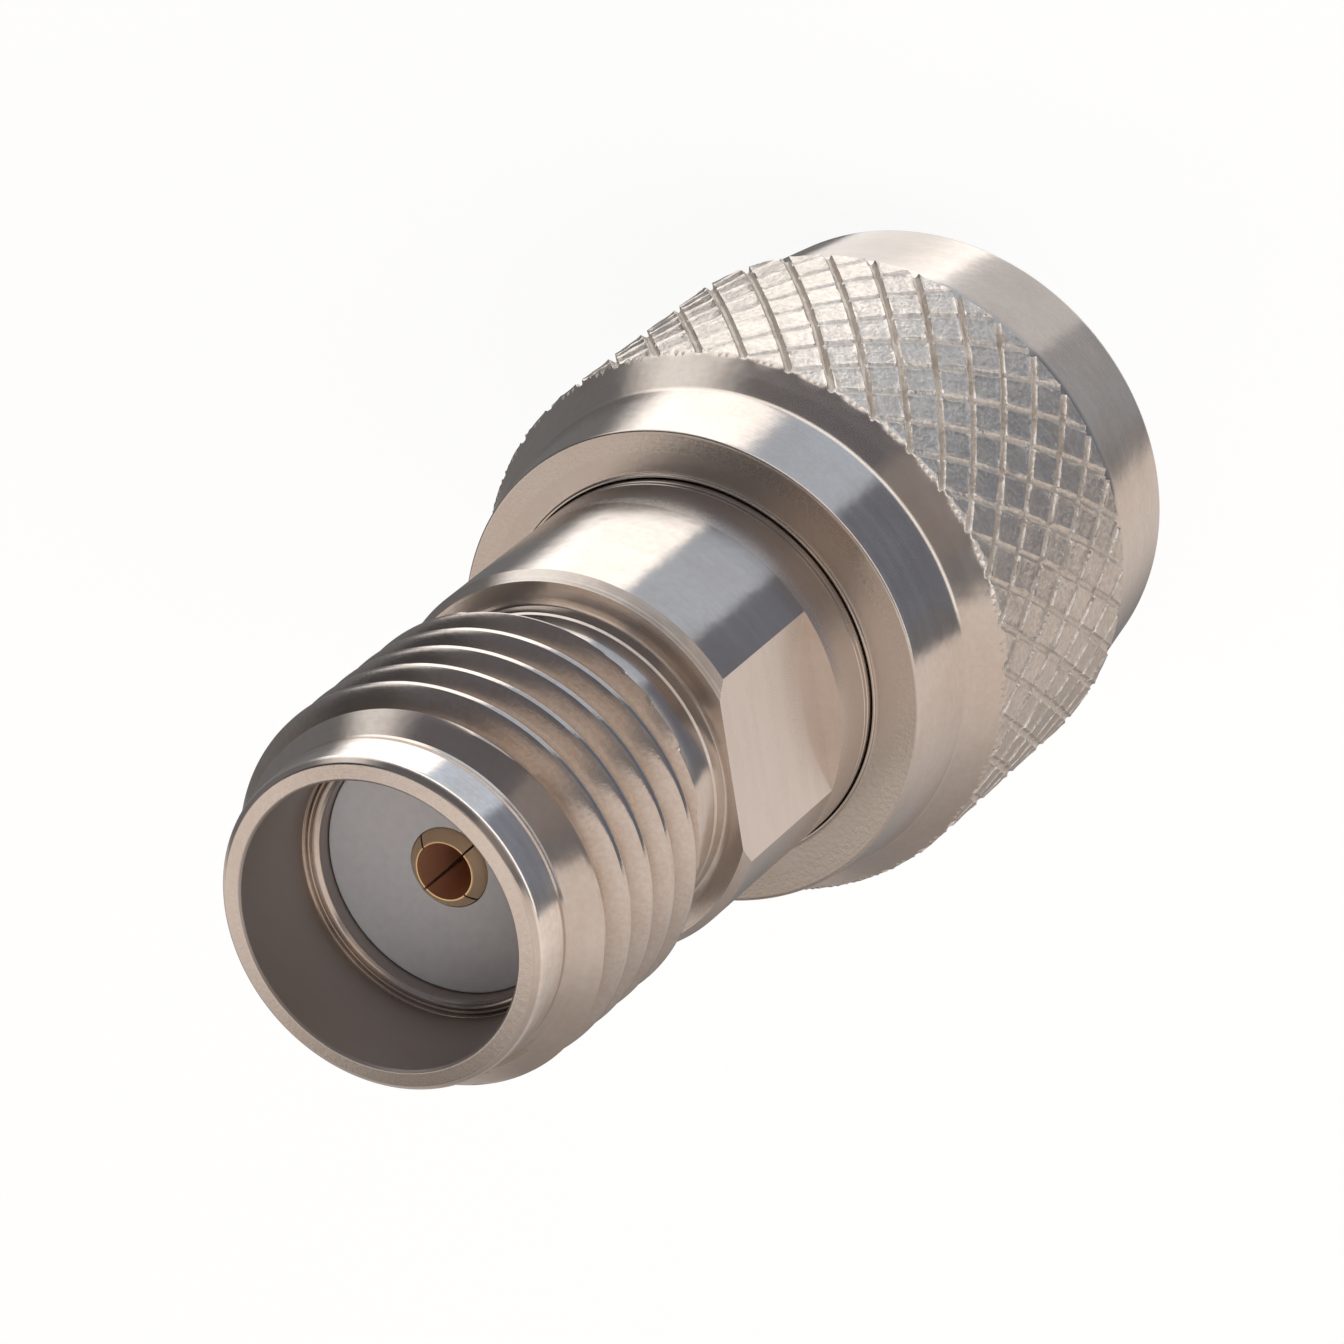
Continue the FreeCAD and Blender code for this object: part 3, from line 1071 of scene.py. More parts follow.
    def build(self) -> bpy.types.Object:
        """Makes the body's mesh with its finishes.

        Returns:
            The body.
        """
        draft = Draft()
        rings, shift = self.thread_rings()
        draft.add_rings(rings, [BodyFace.THREAD], shift=-shift)
        angles = self.angles()
        upper = [(circle(r, z, angles), int(f)) for r, z, f in self.mouth_section()]
        lower = [(circle(r, z, angles), int(BodyFace.TURNED)) for r, z in self.relief_section()]
        for share in np.linspace(0, 1, self.chamfer_parts):
            radius = self.face_radius + (self.collar_radius - self.face_radius) * share
            lower.append((self.cut_ring(radius, self.relief_end - self.chamfer * share), int(BodyFace.TURNED)))
        lower.append((self.cut_ring(self.collar_radius, self.flat_end), int(BodyFace.TURNED)))
        lower += [(circle(r, z, angles), int(f)) for r, z, f in reversed(self.inner_section())]
        lower.append((upper[0][0], int(BodyFace.BORE)))
        for rows in (upper, lower):
            draft.add_rings(np.stack([ring for ring, _ in rows]), [finish for _, finish in rows])
        piece = draft.build("body_turned")
        self.mark_flats(piece)
        self.mark_lead(piece)
        return piece

    def mark_flats(self, piece: bpy.types.Object) -> None:
        """Gives the two flats their milled finish.

        Args:
            piece: The body.
        """
        for face in piece.data.polygons:
            level = abs(abs(face.center.y) - self.flat_half * MM) < 1e-7
            if level and self.flat_end * MM < face.center.z < self.relief_end * MM and abs(face.normal.y) > 0.99:
                face.material_index = BodyFace.MILLED

    def mark_lead(self, piece: bpy.types.Object) -> None:
        """Gives the cone in front of the thread its turned finish.

        Args:
            piece: The body.
        """
        for face in piece.data.polygons:
            across = math.hypot(face.center.x, face.center.y) / MM
            cone = self.nose_radius + self.nose_end - face.center.z / MM
            if abs(across - cone) < 0.012 and across > self.nose_radius:
                face.material_index = BodyFace.TURNED

    def make(self) -> None:
        """Builds, dresses and fastens the body."""
        piece = self.build()
        dress(piece, [f.material() for f in (FINE_TURNED, MILLED, FACED, BORE, THREADED, NOSE_HIGHLIGHT_STEEL)])
        fasten(piece, Body.FIXED, Slot.STEEL, "jack_body")


@dataclass
class Knurl:
    """Rolled diamond knurl with raised burrs beside its grooves."""

    starts: int = 37
    row_height: float = 0.5643
    crest: float = 4.562
    depth: float = 0.085
    faint_depth: float = 0.023
    groove_half: float = 0.058
    burr: float = 0.014
    start: float = 6.955
    raggedness: float = 0.03
    crossing_height: float = 6.95
    crossing_angle: float = math.radians(-58.7)
    low: float = 2.47
    high: float = 7.12
    lean_deg: float = 34.5
    wander: float = 0.012
    wear: float = 0.38
    width_spread: float = 0.15
    start_share: float = 0.3
    start_length: float = 0.25
    cut_fullness: float = 1.25
    cut_power: float = 1.6
    burr_away: float = 0.016
    burr_width: float = 0.02
    skin: tuple[tuple[float, float, int], ...] = ((0.006, 0.16, 51), (0.004, 0.07, 61))
    cell_step: float = 0.004
    samples: tuple[float, ...] = (
        0.0, 0.035, 0.07, 0.105, 0.14, 0.19, 0.28, 0.42, 0.58, 0.72, 0.81, 0.86, 0.895, 0.93, 0.965
    )

    def along(self, numbers: np.ndarray) -> np.ndarray:
        """Place across the grooves of one hand, a whole number on each groove."""
        per = len(self.samples)
        return numbers // per + np.asarray(self.samples)[numbers % per]

    def relief(self, first: np.ndarray, second: np.ndarray, angle: np.ndarray, height: np.ndarray) -> np.ndarray:
        """Radius of the knurled skin.

        Args:
            first: Place across the grooves of the first hand.
            second: Place across the grooves of the second hand.
            angle: Angle of each point.
            height: Height of each point.

        Returns:
            Radius in millimetres.
        """
        circumference = FULL_TURN * self.crest
        pitch = circumference / self.starts * math.cos(math.radians(self.lean_deg))
        fade = np.clip(self.start_share + (self.start - height) / self.start_length, self.start_share, 1)
        cuts, burrs = [], []
        for number, (place, other, deep) in enumerate(
            ((first, second, self.depth), (second, first, self.faint_depth))
        ):
            line = np.round(place).astype(int)
            wander = self.wander * value_noise(other * 2.3, line * 7.1, NO_REPEAT, 11 + number)
            away = np.abs((place - line) * pitch + wander)
            wear = 1 + self.wear * value_noise(other * 1.7 + 3.0, line * 3.7, NO_REPEAT, 21 + number)
            width = 1 + self.width_spread * value_noise(other * 3.1, line * 5.3, NO_REPEAT, 31 + number)
            half = self.groove_half * width
            shape = self.cut_fullness - self.cut_fullness * np.clip(away / half, 0, 1) ** self.cut_power
            cuts.append(fade * deep * wear * np.clip(shape, 0, 1))
            ridge = np.exp(-(((away - half - self.burr_away) / self.burr_width) ** 2))
            tear = 0.65 + 0.55 * value_noise(other * 5.0, line * 2.9, NO_REPEAT, 41 + number)
            burrs.append(self.burr * ridge * np.clip(tear, 0, 1.3))
        radius = self.crest - np.maximum(cuts[0], cuts[1])
        for burr, crossing, deep in zip(burrs, reversed(cuts), (self.faint_depth, self.depth)):
            radius = radius + burr * np.clip(1 - crossing / (0.4 * deep), 0, 1)
        for depth, size, seed in self.skin:
            cells = int(circumference / size)
            around = angle * self.crest / circumference * cells
            radius = radius + depth * value_noise(around, height / size, cells, seed)
        return radius + self.cell_step * hashed(np.floor(first).astype(int), np.floor(second).astype(int))

    def add_to(self, draft: Draft, cone: "NutOutline") -> tuple[list[int], list[int]]:
        """Adds the knurled skin to a draft.

        Args:
            draft: Draft of the nut.
            cone: Outline that the knurl runs out into.

        Returns:
            Point indices of its upper and of its lower edge.
        """
        per = len(self.samples)
        ring = self.starts * per
        low_row = math.floor((self.low - self.crossing_height) / self.row_height) - 2
        offsets = np.arange(low_row * per, 3 * per)
        second_index = np.arange(ring)
        first_index = offsets[:, None] + second_index[None, :]
        first = self.along(first_index)
        second = np.broadcast_to(self.along(second_index)[None, :], first.shape)
        angle = self.crossing_angle + (first + second) * math.pi / self.starts
        height = self.crossing_height + (first - second) * self.row_height
        held = np.clip(height, self.low, self.high)
        slide = (held - height) / self.row_height / 2
        first_held, second_held = first + slide, second - slide
        radius = self.relief(first_held, second_held, np.mod(angle, FULL_TURN), held)
        cells = 6 * self.starts
        ragged = value_noise(np.mod(angle, FULL_TURN) / FULL_TURN * cells, held * 0, cells, 71)
        slope = cone.cone_radius(held)
        on_cone = (held > self.start + self.raggedness * ragged) | (radius > slope)
        radius = np.where(on_cone, slope, radius)
        start = draft.add_points(circle(radius, held, angle))
        out_low, out_high = height <= self.low, height >= self.high
        used: set[int] = set()
        for row in range(1, len(offsets) - 1):
            for column in range(ring):
                following = (column + 1) % ring
                corners = ((row, column), (row + 1, column), (row, following), (row - 1, following))
                if all(out_low[c] for c in corners) or all(out_high[c] for c in corners):
                    continue
                numbers = [start + r * ring + c for r, c in corners]
                plain = sum(on_cone[c] for c in corners) > 2
                draft.add_face(numbers, NutFace.TURNED if plain else NutFace.KNURLED)
                used.update(n for n, c in zip(numbers, corners) if out_low[c] or out_high[c])
        flat_low, flat_high = out_low.ravel(), out_high.ravel()
        return [n for n in used if flat_high[n - start]], [n for n in used if flat_low[n - start]]


@dataclass
class NutOutline:
    """Outer sizes of the coupling nut."""

    length: float = 8.78
    face_radius: float = 3.95
    band_radius: float = 4.13
    band_end: float = 7.42
    knurl_radius: float = 4.568
    knurl_start: float = 6.86
    nose_radius: float = 4.40
    nose_middle: float = 4.28
    front_radius: float = 4.13
    front_chamfer: float = 0.06

    def cone_radius(self, height: np.ndarray) -> np.ndarray:
        """Radius of the cone between the band and the knurl at a height."""
        slope = (self.knurl_radius - self.band_radius) / (self.band_end - self.knurl_start)
        return self.band_radius + (self.band_end - height) * slope


@dataclass
class CouplingNut:
    """Knurled nut that turns on the body."""

    outline: NutOutline = field(default_factory=NutOutline)
    knurl: Knurl = field(default_factory=Knurl)
    form: ThreadForm = field(
        default_factory=lambda: ThreadForm(
            depth=0.36, crest_share=0.17, root_share=0.2, back_parts=2, fullness=1.0, crest_places=(0.0, 0.17),
            crest_falls=(0.0, 0.0), front_places=(0.0, 0.5),
        )
    )
    running_radius: float = 3.22
    lip_radius: float = 3.182
    groove_radius: float = 3.55
    groove_low: float = 6.35
    groove_high: float = 7.05
    minor_radius: float = 2.83
    thread_low: float = 0.0
    thread_high: float = 4.4
    entry_depth: float = 0.42
    relief_radius: float = 3.35
    relief_end: float = 5.7
    relief_slope: float = 2.0
    columns: int = 210

    def thread_rings(self, angles: np.ndarray) -> tuple[np.ndarray, int]:
        """Rings of the inner thread from the top down.

        Args:
            angles: Angles of the columns.

        Returns:
            The rings and the rings that one turn moves on by.
        """
        entry = self.minor_radius + self.entry_depth

        def radius_at(fall: np.ndarray, held: np.ndarray) -> np.ndarray:
            """Radius of the thread between its lead and its relief.

            Args:
                fall: Depth below the crest.
                held: Height.

            Returns:
                The radius.
            """
            lead = entry - (held - self.thread_low)
            exit_cone = self.relief_radius - (self.thread_high - held) * self.relief_slope
            return np.maximum(np.maximum(self.minor_radius + fall, lead), exit_cone)

        helix = self.thread_high + 2 * self.form.pitch + self.form.pitch * angles / FULL_TURN
        span = (self.thread_low, self.thread_high)
        return self.form.rings(helix, angles, span, (entry, self.relief_radius), radius_at)

    def upper_section(self) -> list[Corner]:
        """Section from the inner thread up through the bore, over the lip and the band to the knurl.

        Returns:
            Corners as (radius, height, finish).
        """
        out, turned, bore = self.outline, NutFace.TURNED, NutFace.BORE
        lip, face = self.lip_radius, out.length
        return softened(
            [
                (self.relief_radius, self.thread_high, 0, bore),
                (self.relief_radius, self.relief_end, 0, bore),
                (self.running_radius, self.relief_end, 0, bore),
                (self.running_radius, self.groove_low, 0, bore),
                (self.groove_radius, self.groove_low, 0, bore),
                (self.groove_radius, self.groove_high, 0, bore),
                (self.running_radius, self.groove_high, 0, bore),
                (self.running_radius, face - 0.3, 0, bore),
                (lip, face - 0.25, 0, bore),
                (lip, face - 0.02, 0.01, turned),
                (lip + 0.015, face + 0.045, 0.012, turned),
                (lip + 0.05, face + 0.045, 0.012, turned),
                (lip + 0.065, face - 0.005, 0.01, NutFace.FACED),
                (out.face_radius, face - 0.03, 0.035, turned),
                (out.band_radius, out.band_end, 0.05, turned),
                (float(out.cone_radius(self.knurl.high)), self.knurl.high, 0, turned),
            ]
        )

    def lower_section(self) -> list[Corner]:
        """Section from the knurl down over the smooth nose to the front face.

        Returns:
            Corners as (radius, height, finish).
        """
        out, turned, low = self.outline, NutFace.TURNED, self.knurl.low
        return softened(
            [
                (out.nose_radius - 0.025, low, 0, turned),
                (out.nose_radius - 0.03, low - 0.12, 0.05, turned),
                (out.nose_radius, low - 0.3, 0.1, turned),
                (out.nose_middle, low / 2, 0.4, turned),
                (out.front_radius, out.front_chamfer, 0.03, turned),
                (out.front_radius - out.front_chamfer, 0.0, 0.02, NutFace.FACED),
                (self.minor_radius + self.entry_depth, 0.0, 0, NutFace.FACED),
            ]
        )

    def build(self) -> bpy.types.Object:
        """Makes the nut's mesh with its finishes.

        Returns:
            The nut.
        """
        draft = Draft()
        angles = np.arange(self.columns) * FULL_TURN / self.columns
        rings, shift = self.thread_rings(angles)
        draft.add_rings(rings, [NutFace.BORE], shift=-shift)
        starts = []
        sections = (self.upper_section(), self.lower_section())
        for section in sections:
            starts.append(draft.count)
            draft.add_rings(np.stack([circle(r, z, angles) for r, z, _ in section]), [int(c[2]) for c in section])
        upper_start = starts[0] + (len(sections[0]) - 1) * self.columns
        upper_edge, lower_edge = self.knurl.add_to(draft, self.outline)
        for first, edge in ((upper_start, upper_edge), (starts[1], lower_edge)):
            draft.zip_loops(range(first, first + self.columns), edge, NutFace.TURNED)
        return draft.build("nut_knurled", sharp_deg=34.0)

    def make(self) -> None:
        """Builds, dresses and fastens the nut."""
        piece = self.build()
        dress(piece, [f.material() for f in (FINE_TURNED, FACED_SHADE_STEEL, BORE, KNURLED)])
        fasten(piece, Body.NUT, Slot.STEEL, "coupling_nut")


@dataclass
class CentreLine:
    """Insulators and contacts on the axis."""

    insulator_face: float = 16.67
    wide_top: float = 15.5
    line_radius: float = 2.04
    wide_radius: float = 2.29
    joint: float = 10.05
    reference: float = 2.5
    seat_top: float = 6.2
    contact_radius: float = 0.635
    contact_wide: float = 0.71
    clearance: float = 0.01
    ring_radius: float = 1.0
    ring_half: float = 0.15
    socket_top: float = 16.83
    socket_chamfer: float = 0.15
    socket_bore: float = 0.45
    socket_depth: float = 3.8
    slot_width: float = 0.1
    slot_length: float = 2.6
    slot_angle: float = math.radians(38)
    tail_hole: float = 0.40
    tail_radius: float = 0.395
    pin_radius: float = 0.457
    pin_tip: float = 0.6
    tip_radius: float = 0.16
    tip_length: float = 0.35
    tail_length: float = 1.85
    tail_hole_length: float = 1.95
    slot_taper: float = 0.2
    slot_over: float = 0.4

    def insulator(self, face: float, step: float, side: int) -> list[Corner]:
        """Section of one insulator.

        Args:
            face: Height of its outer face.
            step: Height of its shoulder.
            side: 1 for the jack's and -1 for the plug's.

        Returns:
            Corners of the section.
        """
        ring = self.joint + side * self.ring_half
        hole = self.contact_radius + self.clearance
        wide = self.contact_wide + self.clearance
        return [
            (hole, face, 0.015), (self.line_radius, face, 0.03), (self.line_radius, step),
            (self.wide_radius, step, 0.03), (self.wide_radius, self.joint, 0.02),
            (self.ring_radius + self.clearance, self.joint), (self.ring_radius + self.clearance, ring),
            (wide, ring), (wide, step), (hole, step),
        ]

    def socket(self) -> bpy.types.Object:
        """Slotted socket of the jack.

        Returns:
            The socket.
        """
        top, bottom = self.socket_top, self.socket_top - self.socket_depth
        hole_top, ring = self.joint + self.tail_hole_length, self.joint + self.ring_half
        plated, lesser, bored = SocketFace
        # The chamfer takes the darker, duller gold.
        profile: list[Corner] = [
            (self.socket_bore, top, 0.012, plated), (self.contact_radius - self.socket_chamfer, top, 0.012, lesser),
            (self.contact_radius, top - self.socket_chamfer, 0.05, lesser), (self.contact_radius, self.wide_top),
            (self.contact_wide, self.wide_top), (self.contact_wide, ring), (self.ring_radius, ring),
            (self.ring_radius, self.joint), (self.tail_hole, self.joint), (self.tail_hole, hole_top),
            # The hole's walls take the painted-shade gold.
            (AXIS_MM, hole_top), (AXIS_MM, bottom), (self.socket_bore, bottom, 0, bored),
        ]
        piece = turned_draft(profile, 128).build("socket_slotted")
        boxes = []
        for turn in (0, math.pi / 2):
            place = Matrix.Translation((0, 0, (top - self.slot_length / 2 + self.slot_over / 2) * MM))
            spin = Matrix.Rotation(self.slot_angle + turn, 4, "Z")
            size = Matrix.Diagonal((2 * MM, self.slot_width * MM, (self.slot_length + self.slot_over) * MM, 1))
            boxes.append(place @ spin @ size)
        cut_boxes(piece, boxes, narrowing=self.slot_taper)
        return piece

    def pin(self) -> bpy.types.Object:
        """Pin of the plug with its rounded tip and its tail.

        Returns:
            The pin.
        """
        low, tail = self.joint - self.ring_half, self.joint + self.tail_length
        profile: list[Corner] = [
            (AXIS_MM, self.pin_tip), (self.tip_radius, self.pin_tip, 0.1),
            (self.pin_radius, self.pin_tip + self.tip_length, 0.1), (self.pin_radius, self.reference, 0.02),
            (self.contact_radius, self.reference, 0.02), (self.contact_radius, self.seat_top),
            (self.contact_wide, self.seat_top), (self.contact_wide, low), (self.ring_radius, low),
            (self.ring_radius, self.joint), (self.tail_radius, self.joint), (self.tail_radius, tail, 0.05),
            (AXIS_MM, tail),
        ]
        return turned_draft(profile, 128).build("pin_gold")

    def make(self) -> None:
        """Builds, dresses and fastens the insulators and contacts."""
        white, gold = INSULATOR_SHADED_WHITE.material(), GOLD_PLATED.material()
        jack = turned_draft(self.insulator(self.insulator_face, self.wide_top, 1), 240).build("insulator_jack")
        plug = turned_draft(self.insulator(self.reference, self.seat_top, -1), 240).build("insulator_plug")
        for piece, node in ((jack, "jack_insulator"), (plug, "plug_insulator")):
            dress(piece, [white])
            fasten(piece, Body.FIXED, Slot.PLASTIC, node)
        for piece, node in ((self.socket(), "socket_contact"), (self.pin(), "pin_contact")):
            lesser = [DARK_DULL_GOLD.material(), HOLE_SHADE_GOLD.material()] if node == "socket_contact" else []
            dress(piece, [gold, *lesser])
            fasten(piece, Body.FIXED, Slot.GOLD, node)


@dataclass
class PlugEnd:
    """Ferrule, seal and retaining ring of the plug half."""

    ferrule_radius: float = 2.29
    line_radius: float = 2.05
    reference: float = 2.5
    root_radius: float = 2.46
    root_start: float = 4.5
    body_face: float = 5.0
    seat_radius: float = 2.60
    seat_top: float = 6.2
    seal_radius: float = 2.86
    seal_thickness: float = 0.65
    ring_inner: float = 2.80
    ring_outer: float = 3.50
    ring_low: float = 6.43
    ring_thickness: float = 0.54
    ring_opening: float = 1.3
    cut_height: float = 1.2

    def ferrule(self) -> bpy.types.Object:
        """Outer contact of the plug.

        Returns:
            The ferrule.
        """
        profile: list[Corner] = [
            (self.line_radius, self.reference, 0.03), (self.ferrule_radius - 0.1, self.reference, 0.03),
            (self.ferrule_radius, self.reference + 0.1, 0.05), (self.ferrule_radius, self.root_start, 0.02),
            (self.root_radius, self.root_start, 0.02), (self.root_radius, self.body_face),
            (self.seat_radius, self.body_face), (self.seat_radius, self.seat_top), (self.line_radius, self.seat_top),
        ]
        return turned_draft(profile, 300).build("ferrule_turned")

    def seal(self) -> bpy.types.Object:
        """Soft ring round the ferrule's root.

        Returns:
            The seal.
        """
        low = self.body_face - self.seal_thickness
        inner = self.root_radius + 0.01
        profile: list[Corner] = [
            (inner, low, 0.12), (self.seal_radius, low, 0.14), (self.seal_radius, self.body_face, 0.12),
            (inner, self.body_face, 0.03),
        ]
        return turned_draft(profile, 200).build("seal_ring")

    def snap_ring(self) -> bpy.types.Object:
        """Split spring ring between body and nut.

        Returns:
            The ring.
        """
        high = self.ring_low + self.ring_thickness
        profile: list[Corner] = [
            (self.ring_inner, self.ring_low, 0.05), (self.ring_outer, self.ring_low, 0.05),
            (self.ring_outer, high, 0.05), (self.ring_inner, high, 0.05),
        ]
        piece = turned_draft(profile, 200).build("snap_ring")
        middle = self.ring_low + self.ring_thickness / 2
        reach = self.ring_outer + 1
        place = Matrix.Translation((0, reach / 2 * MM, middle * MM))
        size = Matrix.Diagonal((self.ring_opening * MM, reach * MM, self.cut_height * MM, 1))
        cut_boxes(piece, [place @ size])
        return piece

    def make(self) -> None:
        """Builds, dresses and fastens the three pieces."""
        parts = (
            (self.ferrule(), FINE_TURNED, Slot.STEEL, "plug_ferrule"),
            (self.seal(), SEAL_RED, Slot.SILICONE, "seal_gasket"),
            (self.snap_ring(), SPRING_METAL, Slot.SPRING, "retaining_ring"),
        )
        for piece, finish, slot, node in parts:
            dress(piece, [finish.material()])
            fasten(piece, Body.FIXED, slot, node)


# Studio


class Directions:
    """Where a ray points in the surroundings, with the zones that several of their parts share."""

    def __init__(self, sheet: Sheet, way: Socket) -> None:
        """Reads azimuth and elevation from a direction.

        Args:
            sheet: Sheet of the world's nodes.
            way: Direction of the ray, turned with the studio.
        """
        split = sheet.node("ShaderNodeSeparateXYZ")
        sheet.feed(split.inputs[0], way)
        x, y, z = split.outputs
        self.sheet, self.way = sheet, way
        self.around = sheet.math("DEGREES", sheet.math("ARCTAN2", y, x))
        self.up = sheet.math("DEGREES", sheet.math("ARCSINE", z))
        self.behind = sheet.math("FLOORED_MODULO", sheet.math("SUBTRACT", -60.0, self.around), 360.0)
        self.under = sheet.rise(self.up, -56.0, -62.0)
        self.below = sheet.math("MAXIMUM", sheet.math("SUBTRACT", -52.0, self.up), 0.0)
        self.aloft = sheet.rise(self.up, 56.0, 64.0)

    def nearness(self, aim: Vector) -> Socket:
        """How close a ray points to an aim.

        Args:
            aim: Direction of the aim.

        Returns:
            Their dot product.
        """
        step = self.sheet.node("ShaderNodeVectorMath", operation="DOT_PRODUCT")
        self.sheet.feed(step.inputs[0], self.way)
        step.inputs[1].default_value = aim
        return step.outputs["Value"]


@dataclass
class Studio:
    """Pale floor, soft light and the reflections that turned metal needs."""

    floor_radius: float = 1.2
    floor_height: float = -0.00002
    floor_grey: float = 0.88
    floor_glow: float = 1.13
    floor_share: float = 0.8
    lamp_azimuth: float = -95.0
    lamp_elevation: float = 48.0
    lamp_aim: float = 0.01
    lamp_distance: float = 0.16
    lamp_size: float = 0.09
    lamp_watts: float = 0.04
    turn_deg: float = 30.0
    warm: Colour = (0.82, 0.73, 0.67)
    back_dark: Colour = (0.19, 0.19, 0.195)
    card_dark: Colour = (0.17, 0.175, 0.19)
    dark_low: Colour = (0.15, 0.17, 0.22)
    dark_high: Colour = (0.28, 0.25, 0.24)
    dark_under: Colour = (0.36, 0.37, 0.39)
    grey_low: Colour = (0.52, 0.60, 0.71)
    grey_high: Colour = (0.145, 0.14, 0.155)
    grey_under: Colour = (0.68, 0.67, 0.67)
    table: Colour = (1.15, 1.10, 1.05)
    overhead: Colour = (0.66, 0.53, 0.44)
    overhead_far: Colour = (0.15, 0.145, 0.15)
    window_edge: Colour = (1.5, 1.46, 1.42)
    hollow_dark: Colour = (0.04, 0.04, 0.045)
    box_tint: Colour = (1.0, 0.98, 0.965)
    bright: float = 1.8

    def floor(self) -> None:
        """Wide pale disc under the part; the camera sees it near white with a faint shadow."""
        disc = bmesh.new()
        bmesh.ops.create_circle(disc, cap_ends=True, segments=96, radius=self.floor_radius)
        mesh = bpy.data.meshes.new("floor")
        disc.to_mesh(mesh)
        disc.free()
        plane = bpy.data.objects.new("floor", mesh)
        plane.location.z = self.floor_height
        bpy.context.scene.collection.objects.link(plane)
        material, sheet, shader = surface("floor_paper")
        shader.inputs["Base Color"].default_value = (*[self.floor_grey] * 3, 1)
        shader.inputs["Roughness"].default_value = 0.9
        glow = sheet.node("ShaderNodeEmission")
        glow.inputs["Strength"].default_value = self.floor_glow
        both = sheet.node("ShaderNodeMixShader")
        seen = sheet.node("ShaderNodeLightPath").outputs["Is Camera Ray"]
        shares = (sheet.product(seen, self.floor_share), shader.outputs[0], glow.outputs[0])
        for socket, value in zip(both.inputs, shares):
            sheet.feed(socket, value)
        output = next(n for n in sheet.tree.nodes if n.type == "OUTPUT_MATERIAL")
        sheet.feed(output.inputs[0], both.outputs[0])
        mesh.materials.append(material)
        plane.visible_glossy = False

    def wall(self, here: Directions) -> tuple[Socket, Socket]:
        """Warm wall all round, darker behind and dimmed to one side.

        Args:
            here: Directions of the surroundings.

        Returns:
            The colour and how far it is dimmed.
        """
        sheet, up, behind = here.sheet, here.up, here.behind
        fall = sheet.product(
            sheet.rise(behind, 25.0, 140.0),
            sheet.math("LESS_THAN", behind, 230.0),
            sheet.rise(up, -30.0, 40.0, 1.0, 0.35),
            sheet.rise(up, -66.0, -58.0, 0.15, 1.0),
        )
        side = here.nearness(direction(-165.0, 0.0) + Vector((0.0, 0.0, 0.05)))
        dim = sheet.product(sheet.rise(side, 0.35, 0.98, 0.0, 0.6), sheet.rise(up, -48.0, -15.0))
        colour = sheet.mix(fall, self.warm, self.back_dark)
        return sheet.mix(dim, colour, tinted(self.warm, 0.3)), dim

    def cards(self, here: Directions, colour: Socket) -> Socket:
        """Dark card in front with a darker edge, and a grey card beside it.

        Args:
            here: Directions of the surroundings.
            colour: What is there so far.

        Returns:
            The new colour.
        """
        sheet, around, up = here.sheet, here.around, here.up
        high = sheet.rise(up, -25.0, 5.0)
        overhead = sheet.mix(sheet.rise(around, 10.0, 40.0), self.overhead, self.overhead_far)
        dark = (self.dark_low, self.dark_high, self.dark_under)
        grey = (self.grey_low, self.grey_high, self.grey_under)
        shades = []
        for at_low, at_high, at_under in (dark, grey):
            shade = sheet.mix(here.under, sheet.mix(high, at_low, at_high), at_under)
            shades.append(sheet.mix(here.aloft, shade, overhead))
        edge = sheet.line(here.below, -0.5, sheet.line(up, 0.27, -69.7))
        past = sheet.math("SUBTRACT", around, edge)
        first = sheet.rise(past, -3.0, 3.0)
        colour = sheet.mix(first, colour, shades[0])
        colour = sheet.mix(sheet.product(first, sheet.rest(sheet.rise(past, 3.0, 22.0))), colour, self.card_dark)
        return sheet.mix(sheet.rise(around, -17.0, -11.0), colour, shades[1])

    def box(self, here: Directions, colour: Socket) -> Socket:
        """Bright soft box with a slanting edge, and the table underneath.

        Args:
            here: Directions of the surroundings.
            colour: What is there so far.

        Returns:
            The new colour.
        """
        sheet, around, up = here.sheet, here.around, here.up
        edge = sheet.line(here.below, 1.45, sheet.line(sheet.beyond(up, -45.0), 0.34, 30.3))
        soft = sheet.rise(up, -40.0, 0.0, 2.0, 11.0)
        opening = sheet.rise(sheet.math("SUBTRACT", around, edge), sheet.product(soft, -1.0), soft)
        strength = sheet.product(
            sheet.rise(up, -35.0, 12.0, self.bright, 0.56 * self.bright),
            sheet.rise(up, 24.0, 40.0, 1.0, 0.13),
            sheet.rest(sheet.product(here.under, sheet.rise(around, 60.0, 85.0, 0.0, 0.45))),
        )
        light = sheet.join(*(sheet.product(strength, part) for part in self.box_tint))
        colour = sheet.mix(opening, colour, light)
        return sheet.mix(sheet.rise(up, -77.0, -84.0), colour, self.table)

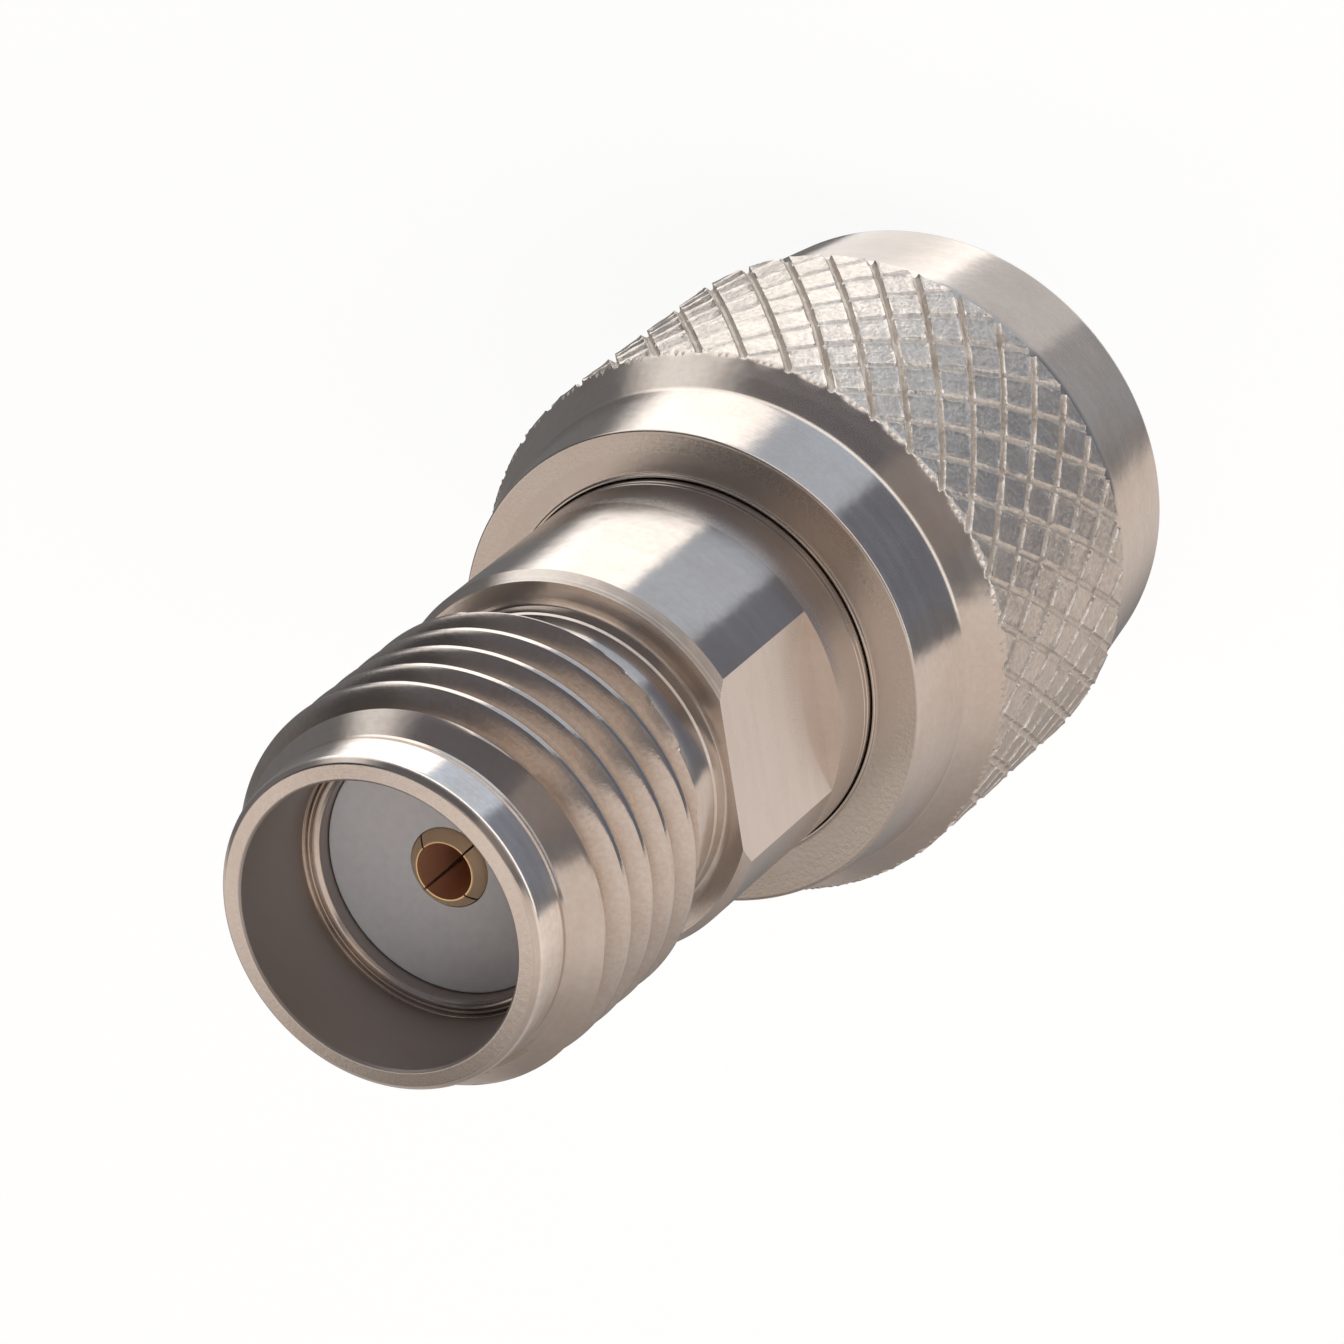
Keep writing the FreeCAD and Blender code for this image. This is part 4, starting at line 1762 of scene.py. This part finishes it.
    def far_side(self, here: Directions, colour: Socket, dim: Socket) -> Socket:
        """Dark wall past the box, with two warm openings behind it.

        Args:
            here: Directions of the surroundings.
            colour: What is there so far.
            dim: How far the warm wall is dimmed.

        Returns:
            The new colour.
        """
        sheet, up, behind = here.sheet, here.up, here.behind
        edge = sheet.line(sheet.beyond(up, -49.0, 4.0), -4.0, 95.0)
        edge = sheet.line(sheet.beyond(up, -45.0, 50.0), -0.1, edge)
        edge = sheet.math("SUBTRACT", sheet.line(here.under, 45.0, edge), here.around)
        colour = sheet.mix(sheet.rise(edge, 7.0, -9.0), colour, self.back_dark)
        low = sheet.product(sheet.span(behind, 100.0, 120.0, 160.0, 175.0), sheet.rise(up, -40.0, -20.0))
        corner = sheet.product(sheet.rise(up, 60.0, 45.0), sheet.rise(behind, 154.0, 132.0))
        high = sheet.product(
            sheet.span(behind, 90.0, 120.0, 175.0, 200.0), sheet.rise(up, 25.0, 42.0), sheet.rest(corner)
        )
        spot = sheet.rise(here.nearness(direction(179.0, 39.0)), 0.92, 0.985, 0.0, 0.95)
        dim = sheet.math("MAXIMUM", dim, spot)
        opening = sheet.mix(dim, tinted(self.warm, 1.17), tinted(self.warm, 0.16))
        return sheet.mix(sheet.math("MAXIMUM", low, high), colour, opening)

    def accents(self, here: Directions, colour: Socket) -> Socket:
        """Dark hollow for the thread's shaded side and a bright strip for thin edge lines.

        Args:
            here: Directions of the surroundings.
            colour: What is there so far.

        Returns:
            The new colour.
        """
        sheet, around, up = here.sheet, here.around, here.up
        hollow = sheet.product(sheet.span(up, 22.0, 34.0, 58.0, 66.0), sheet.span(around, 58.0, 72.0, 112.0, 124.0))
        strip = sheet.product(sheet.span(up, -27.0, -19.0, -2.0, 6.0), sheet.span(around, -75.0, -68.0, 40.0, 60.0))
        return sheet.mix(strip, sheet.mix(hollow, colour, self.hollow_dark), self.window_edge)

    def world(self) -> None:
        """Surroundings: white to the camera, soft boxes and cards to everything else."""
        world = bpy.data.worlds.new("studio")
        bpy.context.scene.world = world
        world.use_nodes = True
        sheet = Sheet(world.node_tree)
        turn = sheet.node("ShaderNodeVectorRotate", rotation_type="Z_AXIS")
        sheet.feed(turn.inputs["Vector"], sheet.node("ShaderNodeTexCoord").outputs["Generated"])
        turn.inputs["Angle"].default_value = math.radians(self.turn_deg)
        here = Directions(sheet, turn.outputs[0])
        colour, dim = self.wall(here)
        colour = self.box(here, self.cards(here, colour))
        colour = self.accents(here, self.far_side(here, colour, dim))
        seen = sheet.node("ShaderNodeLightPath").outputs["Is Camera Ray"]
        back = sheet.node("ShaderNodeBackground")
        sheet.feed(back.inputs["Color"], sheet.mix(seen, colour, (1.0, 1.0, 1.0)))
        sheet.feed(sheet.node("ShaderNodeOutputWorld").inputs[0], back.outputs[0])

    def lamp(self) -> None:
        """One wide soft lamp; the surroundings stand for its reflection."""
        light = bpy.data.lights.new("soft_lamp", "AREA")
        light.shape, light.size, light.energy = "DISK", self.lamp_size, self.lamp_watts
        lamp = bpy.data.objects.new("soft_lamp", light)
        away = direction(self.lamp_azimuth, self.lamp_elevation)
        lamp.location = Vector((0, 0, self.lamp_aim)) + away * self.lamp_distance
        lamp.rotation_mode = "QUATERNION"
        lamp.rotation_quaternion = away.to_track_quat("Z", "Y")
        lamp.visible_glossy = False
        bpy.context.scene.collection.objects.link(lamp)

    def make(self) -> None:
        """Sets up floor, surroundings and lamp."""
        self.floor()
        self.world()
        self.lamp()
        bpy.context.scene.view_settings.view_transform = "Standard"


@dataclass
class Viewpoint:
    """Camera of the photograph: where it stands, what it aims at and how far it is rolled."""

    place: tuple[float, float, float] = (48.4557, -65.9735, 122.2446)
    aim: tuple[float, float, float] = (0.6090, -0.6295, 10.3719)
    roll_deg: float = -129.69
    lens_pixels: float = 9000.0
    frame_pixels: float = 1344.0
    sensor_mm: float = 36.0

    def make(self) -> None:
        """Builds the camera and makes it the scene's."""
        data = bpy.data.cameras.new("camera")
        data.sensor_width = self.sensor_mm
        data.lens = self.lens_pixels / self.frame_pixels * self.sensor_mm
        data.clip_start, data.clip_end = 0.01, 10.0
        camera = bpy.data.objects.new("camera", data)
        bpy.context.scene.collection.objects.link(camera)
        place, aim = Vector(self.place) * MM, Vector(self.aim) * MM
        camera.rotation_mode = "QUATERNION"
        level = (place - aim).to_track_quat("Z", "Y")
        roll = Matrix.Rotation(math.radians(self.roll_deg), 4, "Z").to_quaternion()
        camera.location, camera.rotation_quaternion = place, level @ roll
        bpy.context.scene.camera = camera


def main() -> None:
    """Builds every sub-assembly in order, then the studio and the camera."""
    logging.basicConfig(level=logging.INFO, format="%(name)s: %(message)s")
    for assembly in (JackBody(), CouplingNut(), CentreLine(), PlugEnd(), Studio(), Viewpoint()):
        assembly.make()
        LOG.info("%s done", type(assembly).__name__)


if __name__ == "__main__":
    main()
